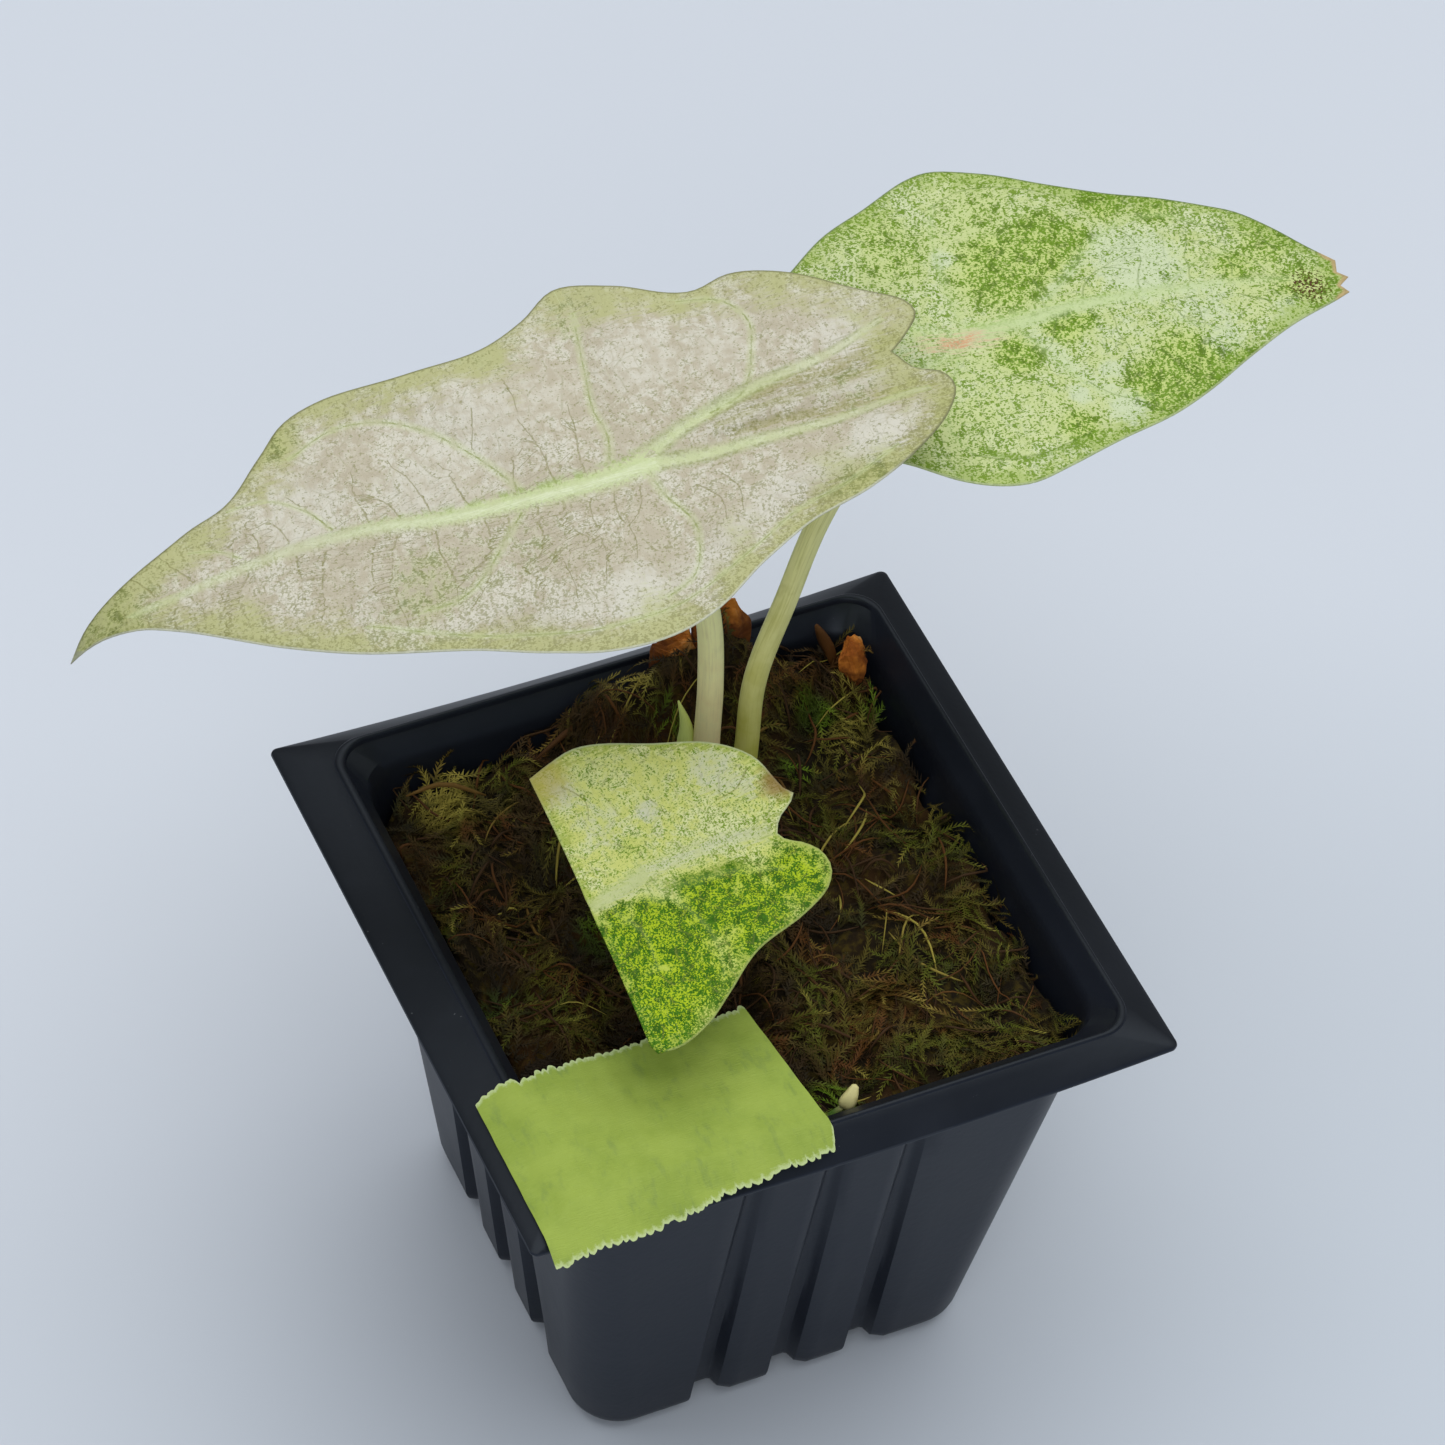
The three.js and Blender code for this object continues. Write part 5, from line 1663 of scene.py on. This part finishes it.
def makeChip(name, look):
    rng = np.random.default_rng(look["seed"])
    deselect()
    bpy.ops.mesh.primitive_ico_sphere_add(subdivisions=unlessQuick(6, 5), radius=1)
    piece = bpy.context.object
    piece.name = piece.data.name = name
    spots = points(piece)
    p = spots / np.linalg.norm(spots, axis=1)[:, None]
    # broken faces: flats at uneven distances
    for _ in range(bark["breaks"]):
        way = rng.normal(size=3)
        way /= np.linalg.norm(way)
        reach = rng.uniform(0.72, 0.95)
        p = p - np.maximum(p @ way - reach, 0)[:, None] * way
    # splintered layers along the grain, deeper at the ends
    x, y, z = p.T
    layer = np.sin(x * 13 + 1.5 * np.sin(z * 4) + look["seed"]) + 0.6 * np.sin(y * 17 + 2 * np.sin(z * 5.3))
    ends = 1 + 0.06 * np.sin(x * 7 + look["seed"]) * np.sin(y * 5) + 0.025 * np.sin(x * 19 + y * 23)
    crumb = 0.012 * np.sin(x * 47 + z * 31) * np.sin(y * 53 - z * 37)
    lump = np.sin(x * 3.1 + look["seed"]) * np.sin(z * 2.7 + 1.3 * np.sin(y * 3)) * 0.09
    p = p * (1 + 0.035 * layer + crumb + lump)[:, None]
    p[:, 2] *= ends
    turn, lean = (math.radians(angle) for angle in look["turn"])
    tilt = np.array(Matrix.Rotation(turn, 3, "Z") @ Matrix.Rotation(lean, 3, "X"))
    spots = (p * 1.06 * np.array(look["size"])) @ tilt.T + np.array(look["at"])
    piece.data.vertices.foreach_set("co", (spots * mm).ravel())
    bpy.ops.object.shade_smooth_by_angle(angle=math.radians(30))
    return piece


def barkPaint(name, look):
    paint = Paint(name + "Crust")
    where = paint.where()
    cloud = paint.noise(where, 170, 4, 0.65)
    layer = paint.noise(paint.scaled(where, 90, 90, 520), 1.0, 4, 0.6)
    high = paint.axis(where, "Z") + (cloud - 0.5) * 0.012
    base = paint.coats(
        paint.mix(cloud.step(0.35, 0.62), bark["orange"], bark["light"]),
        (layer.step(0.52, 0.7) * 0.5, bark["layer"]),
        (cloud.step(0.56, 0.7) * 0.75, bark["pale"]),
        # darker towards the bottom of the chip
        (high.step(*look["darkensBelow"]) * 0.8, bark["lowerDark"]),
    )
    return paint.finish(base, 0.82, paint.bump(layer + cloud * 0.6, 0.0006, 0.8), 0.3)


# Moss sprout: a green stem with a pale bud
sprout = {
    "stem": [(-0.6, -34.6, 62.4), (-0.2, -35.6, 65.2), (1.9, -36.4, 67.8)],
    "bud": [(1.5, -36.2, 67.3), (2.4, -36.2, 68.7), (3.5, -35.6, 70.4)],
    "stemRadius": 0.42,
    "budRadius": (0.38, 0.66),  # at its foot, and what its middle adds
    "tipRadius": 0.12,
    "green": (70, 104, 30),
    "pale": (196, 190, 130),
    "mottle": (150, 140, 80),
}


def makeSprout():
    stem = smoothRun(sprout["stem"], 0.5, keepEnd=True)
    bud = smoothRun(sprout["bud"], 0.16, keepEnd=True)[1:]
    line = np.vstack([stem, bud])
    foot, swelling = sprout["budRadius"]
    t = np.linspace(0, 1, len(bud))
    swollen = foot + swelling * np.sin(np.pi * t**0.62) ** 0.9
    radii = np.concatenate([np.full(len(stem), sprout["stemRadius"]), swollen])
    radii[-1] = sprout["tipRadius"]
    rings = tubeRings(line, np.array([0, 0, 1.0]), np.outer(radii, 1 + 0.13 * np.cos(3 * roundTurns(20))))
    return skin("mossBud", rings, tuple(line[0]), tuple(line[-1]))


def sproutPaint():
    paint = Paint("budSkin")
    where = paint.where()
    mottle = paint.noise(where, 800, 3)
    base = paint.mix(paint.axis(where, "Z").step(0.0665, 0.0685), sprout["green"], sprout["pale"])
    base = paint.mix(mottle.step(0.5, 0.7) * 0.5, base, sprout["mottle"])
    return paint.finish(base, 0.6, paint.bump(mottle, 0.0001))


# What the pot holds: the CAD solids stay and get their own finishes
inside = {
    "mix": (44, 30, 20),
    "mixLight": (88, 60, 38),
    "mixGrit": (168, 156, 136),
    "corm": (150, 118, 80),
    "cormLight": (206, 184, 146),
    "cormScar": (96, 66, 40),
}


def mixPaint():
    paint = Paint("pottingMixGrain")
    where = paint.where()
    bits = paint.cells(where, 420)
    cloud = paint.noise(where, 240, 4)
    base = paint.mix(bits.step(0.2, 0.7), inside["mix"], inside["mixLight"])
    base = paint.mix(cloud.step(0.6, 0.7) * 0.7, base, inside["mixGrit"])
    return paint.finish(base, 0.95, paint.bump(bits + cloud, 0.001, 0.8), 0.2)


def cormPaint():
    paint = Paint("cormSkin")
    where = paint.where()
    bands = paint.noise(paint.scaled(where, 120, 120, 700), 1.0, 3)
    cloud = paint.noise(where, 300, 3)
    base = paint.mix(bands.step(0.4, 0.7), inside["corm"], inside["cormLight"])
    base = paint.mix(cloud.step(0.6, 0.75) * 0.6, base, inside["cormScar"])
    return paint.finish(base, 0.8, paint.bump(bands + cloud, 0.0004, 0.7))


# Stage, light and camera
stage = {
    "floor": (199, 206, 216),
    # painted shade: the floor turns to the darker near colour from behind the pot to before it
    "floorNearShade": (185, 194, 205),
    "floorShade": (0.11, -0.09),  # from behind the pot to before it, in metres
    "sky": (232, 238, 248),
    "skyStrength": 0.3,
    "lampTint": (1.0, 0.99, 0.97),
    "aim": (0, 0, 0.08),
    # soft lamps: place, size, power
    "lamps": {
        "overheadLamp": ((0.22, 0.2, 2.0), 2.6, 47.5),
        "frontLamp": ((-0.55, -1.0, 0.9), 0.9, 5.2),
    },
}
# solved from the four corners of the pot's flange in the photo
camera = {
    "right": (0.91298, -0.40521, 0.04756),
    "down": (-0.27301, -0.69338, -0.66685),
    "forward": (0.30320, 0.59584, -0.74367),
    "spot": (-240.26, -470.19, 690.95),
    "sensor": 36.0,
    "focalPixels": 6260,
    "photoPixels": 1445,
}


def makeStage():
    deselect()
    bpy.ops.mesh.primitive_plane_add(size=8, location=(0, 0, 0))
    floor = bpy.context.object
    floor.name = "paleFloor"
    paint = Paint("paleFloorFinish")
    where = paint.where()
    back = paint.axis(where, "Y") + (paint.noise(where, 3, 2) - 0.5) * 0.04
    # painted shade: the floor is darker toward the front
    base = paint.mix(back.step(*stage["floorShade"]), stage["floor"], stage["floorNearShade"])
    floor.data.materials.append(paint.finish(base, 0.6, gloss=0.3))
    world = bpy.data.worlds.new("softRoom")
    bpy.context.scene.world = world
    world.use_nodes = True
    sky = world.node_tree.nodes["Background"]
    sky.inputs["Color"].default_value = tint(stage["sky"])
    sky.inputs["Strength"].default_value = stage["skyStrength"]
    for name, (spot, size, power) in stage["lamps"].items():
        lamp = bpy.data.lights.new(name, "AREA")
        lamp.energy = power
        lamp.size = size
        lamp.color = stage["lampTint"]
        holder = bpy.data.objects.new(name, lamp)
        holder.location = spot
        aim = Vector(stage["aim"]) - holder.location
        holder.rotation_euler = aim.to_track_quat("-Z", "Y").to_euler()
        bpy.context.collection.objects.link(holder)


def makeCamera():
    right, down, forward = (Vector(camera[way]) for way in ("right", "down", "forward"))
    lens = bpy.data.cameras.new("photoView")
    lens.sensor_width = camera["sensor"]
    lens.lens = camera["sensor"] * camera["focalPixels"] / camera["photoPixels"]
    lens.clip_start = 0.01
    lens.clip_end = 20
    holder = bpy.data.objects.new("photoView", lens)
    columns = Matrix((right, -down, -forward)).transposed()
    holder.matrix_world = Matrix.Translation(Vector(camera["spot"]) * mm) @ columns.to_4x4()
    bpy.context.collection.objects.link(holder)
    bpy.context.scene.camera = holder


print("pot")
dress(makePot(), potPaint(), "pot_plastic", "pot")
print("moss")
dress(makeMossMound(), groundPaint(), "moss", "moss_top")
dress(makeSprigs(), sprigPaint(), "moss", "moss_top")
dress(makeThreads(), threadPaint(), "moss", "moss_top")
print("leaves")
for look in (leafLeft, leafRight, leafFront):
    dress(makeLeaf(look), leafPaint(look), look["slot"], look["node"])
print("stalks")
for name, look in stalks.items():
    dress(makeStalk(name, look), stalkPaint(name, look), look["slot"], look["node"])
print("label")
dress(makeTape(), tapePaint(), "tape", "label_tape")
print("bark and bud")
for name, look in chips.items():
    dress(makeChip(name, look), barkPaint(name, look), "bark", look["node"])
dress(makeSprout(), sproutPaint(), "bud", "moss_sprout")
print("inside the pot")
for node, material in (("potting_mix", mixPaint()), ("corm_and_roots", cormPaint())):
    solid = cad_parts[node]
    solid.data.materials.clear()
    solid.data.materials.append(material)
print("stage")
makeStage()
makeCamera()
bpy.context.scene.view_settings.view_transform = "Standard"
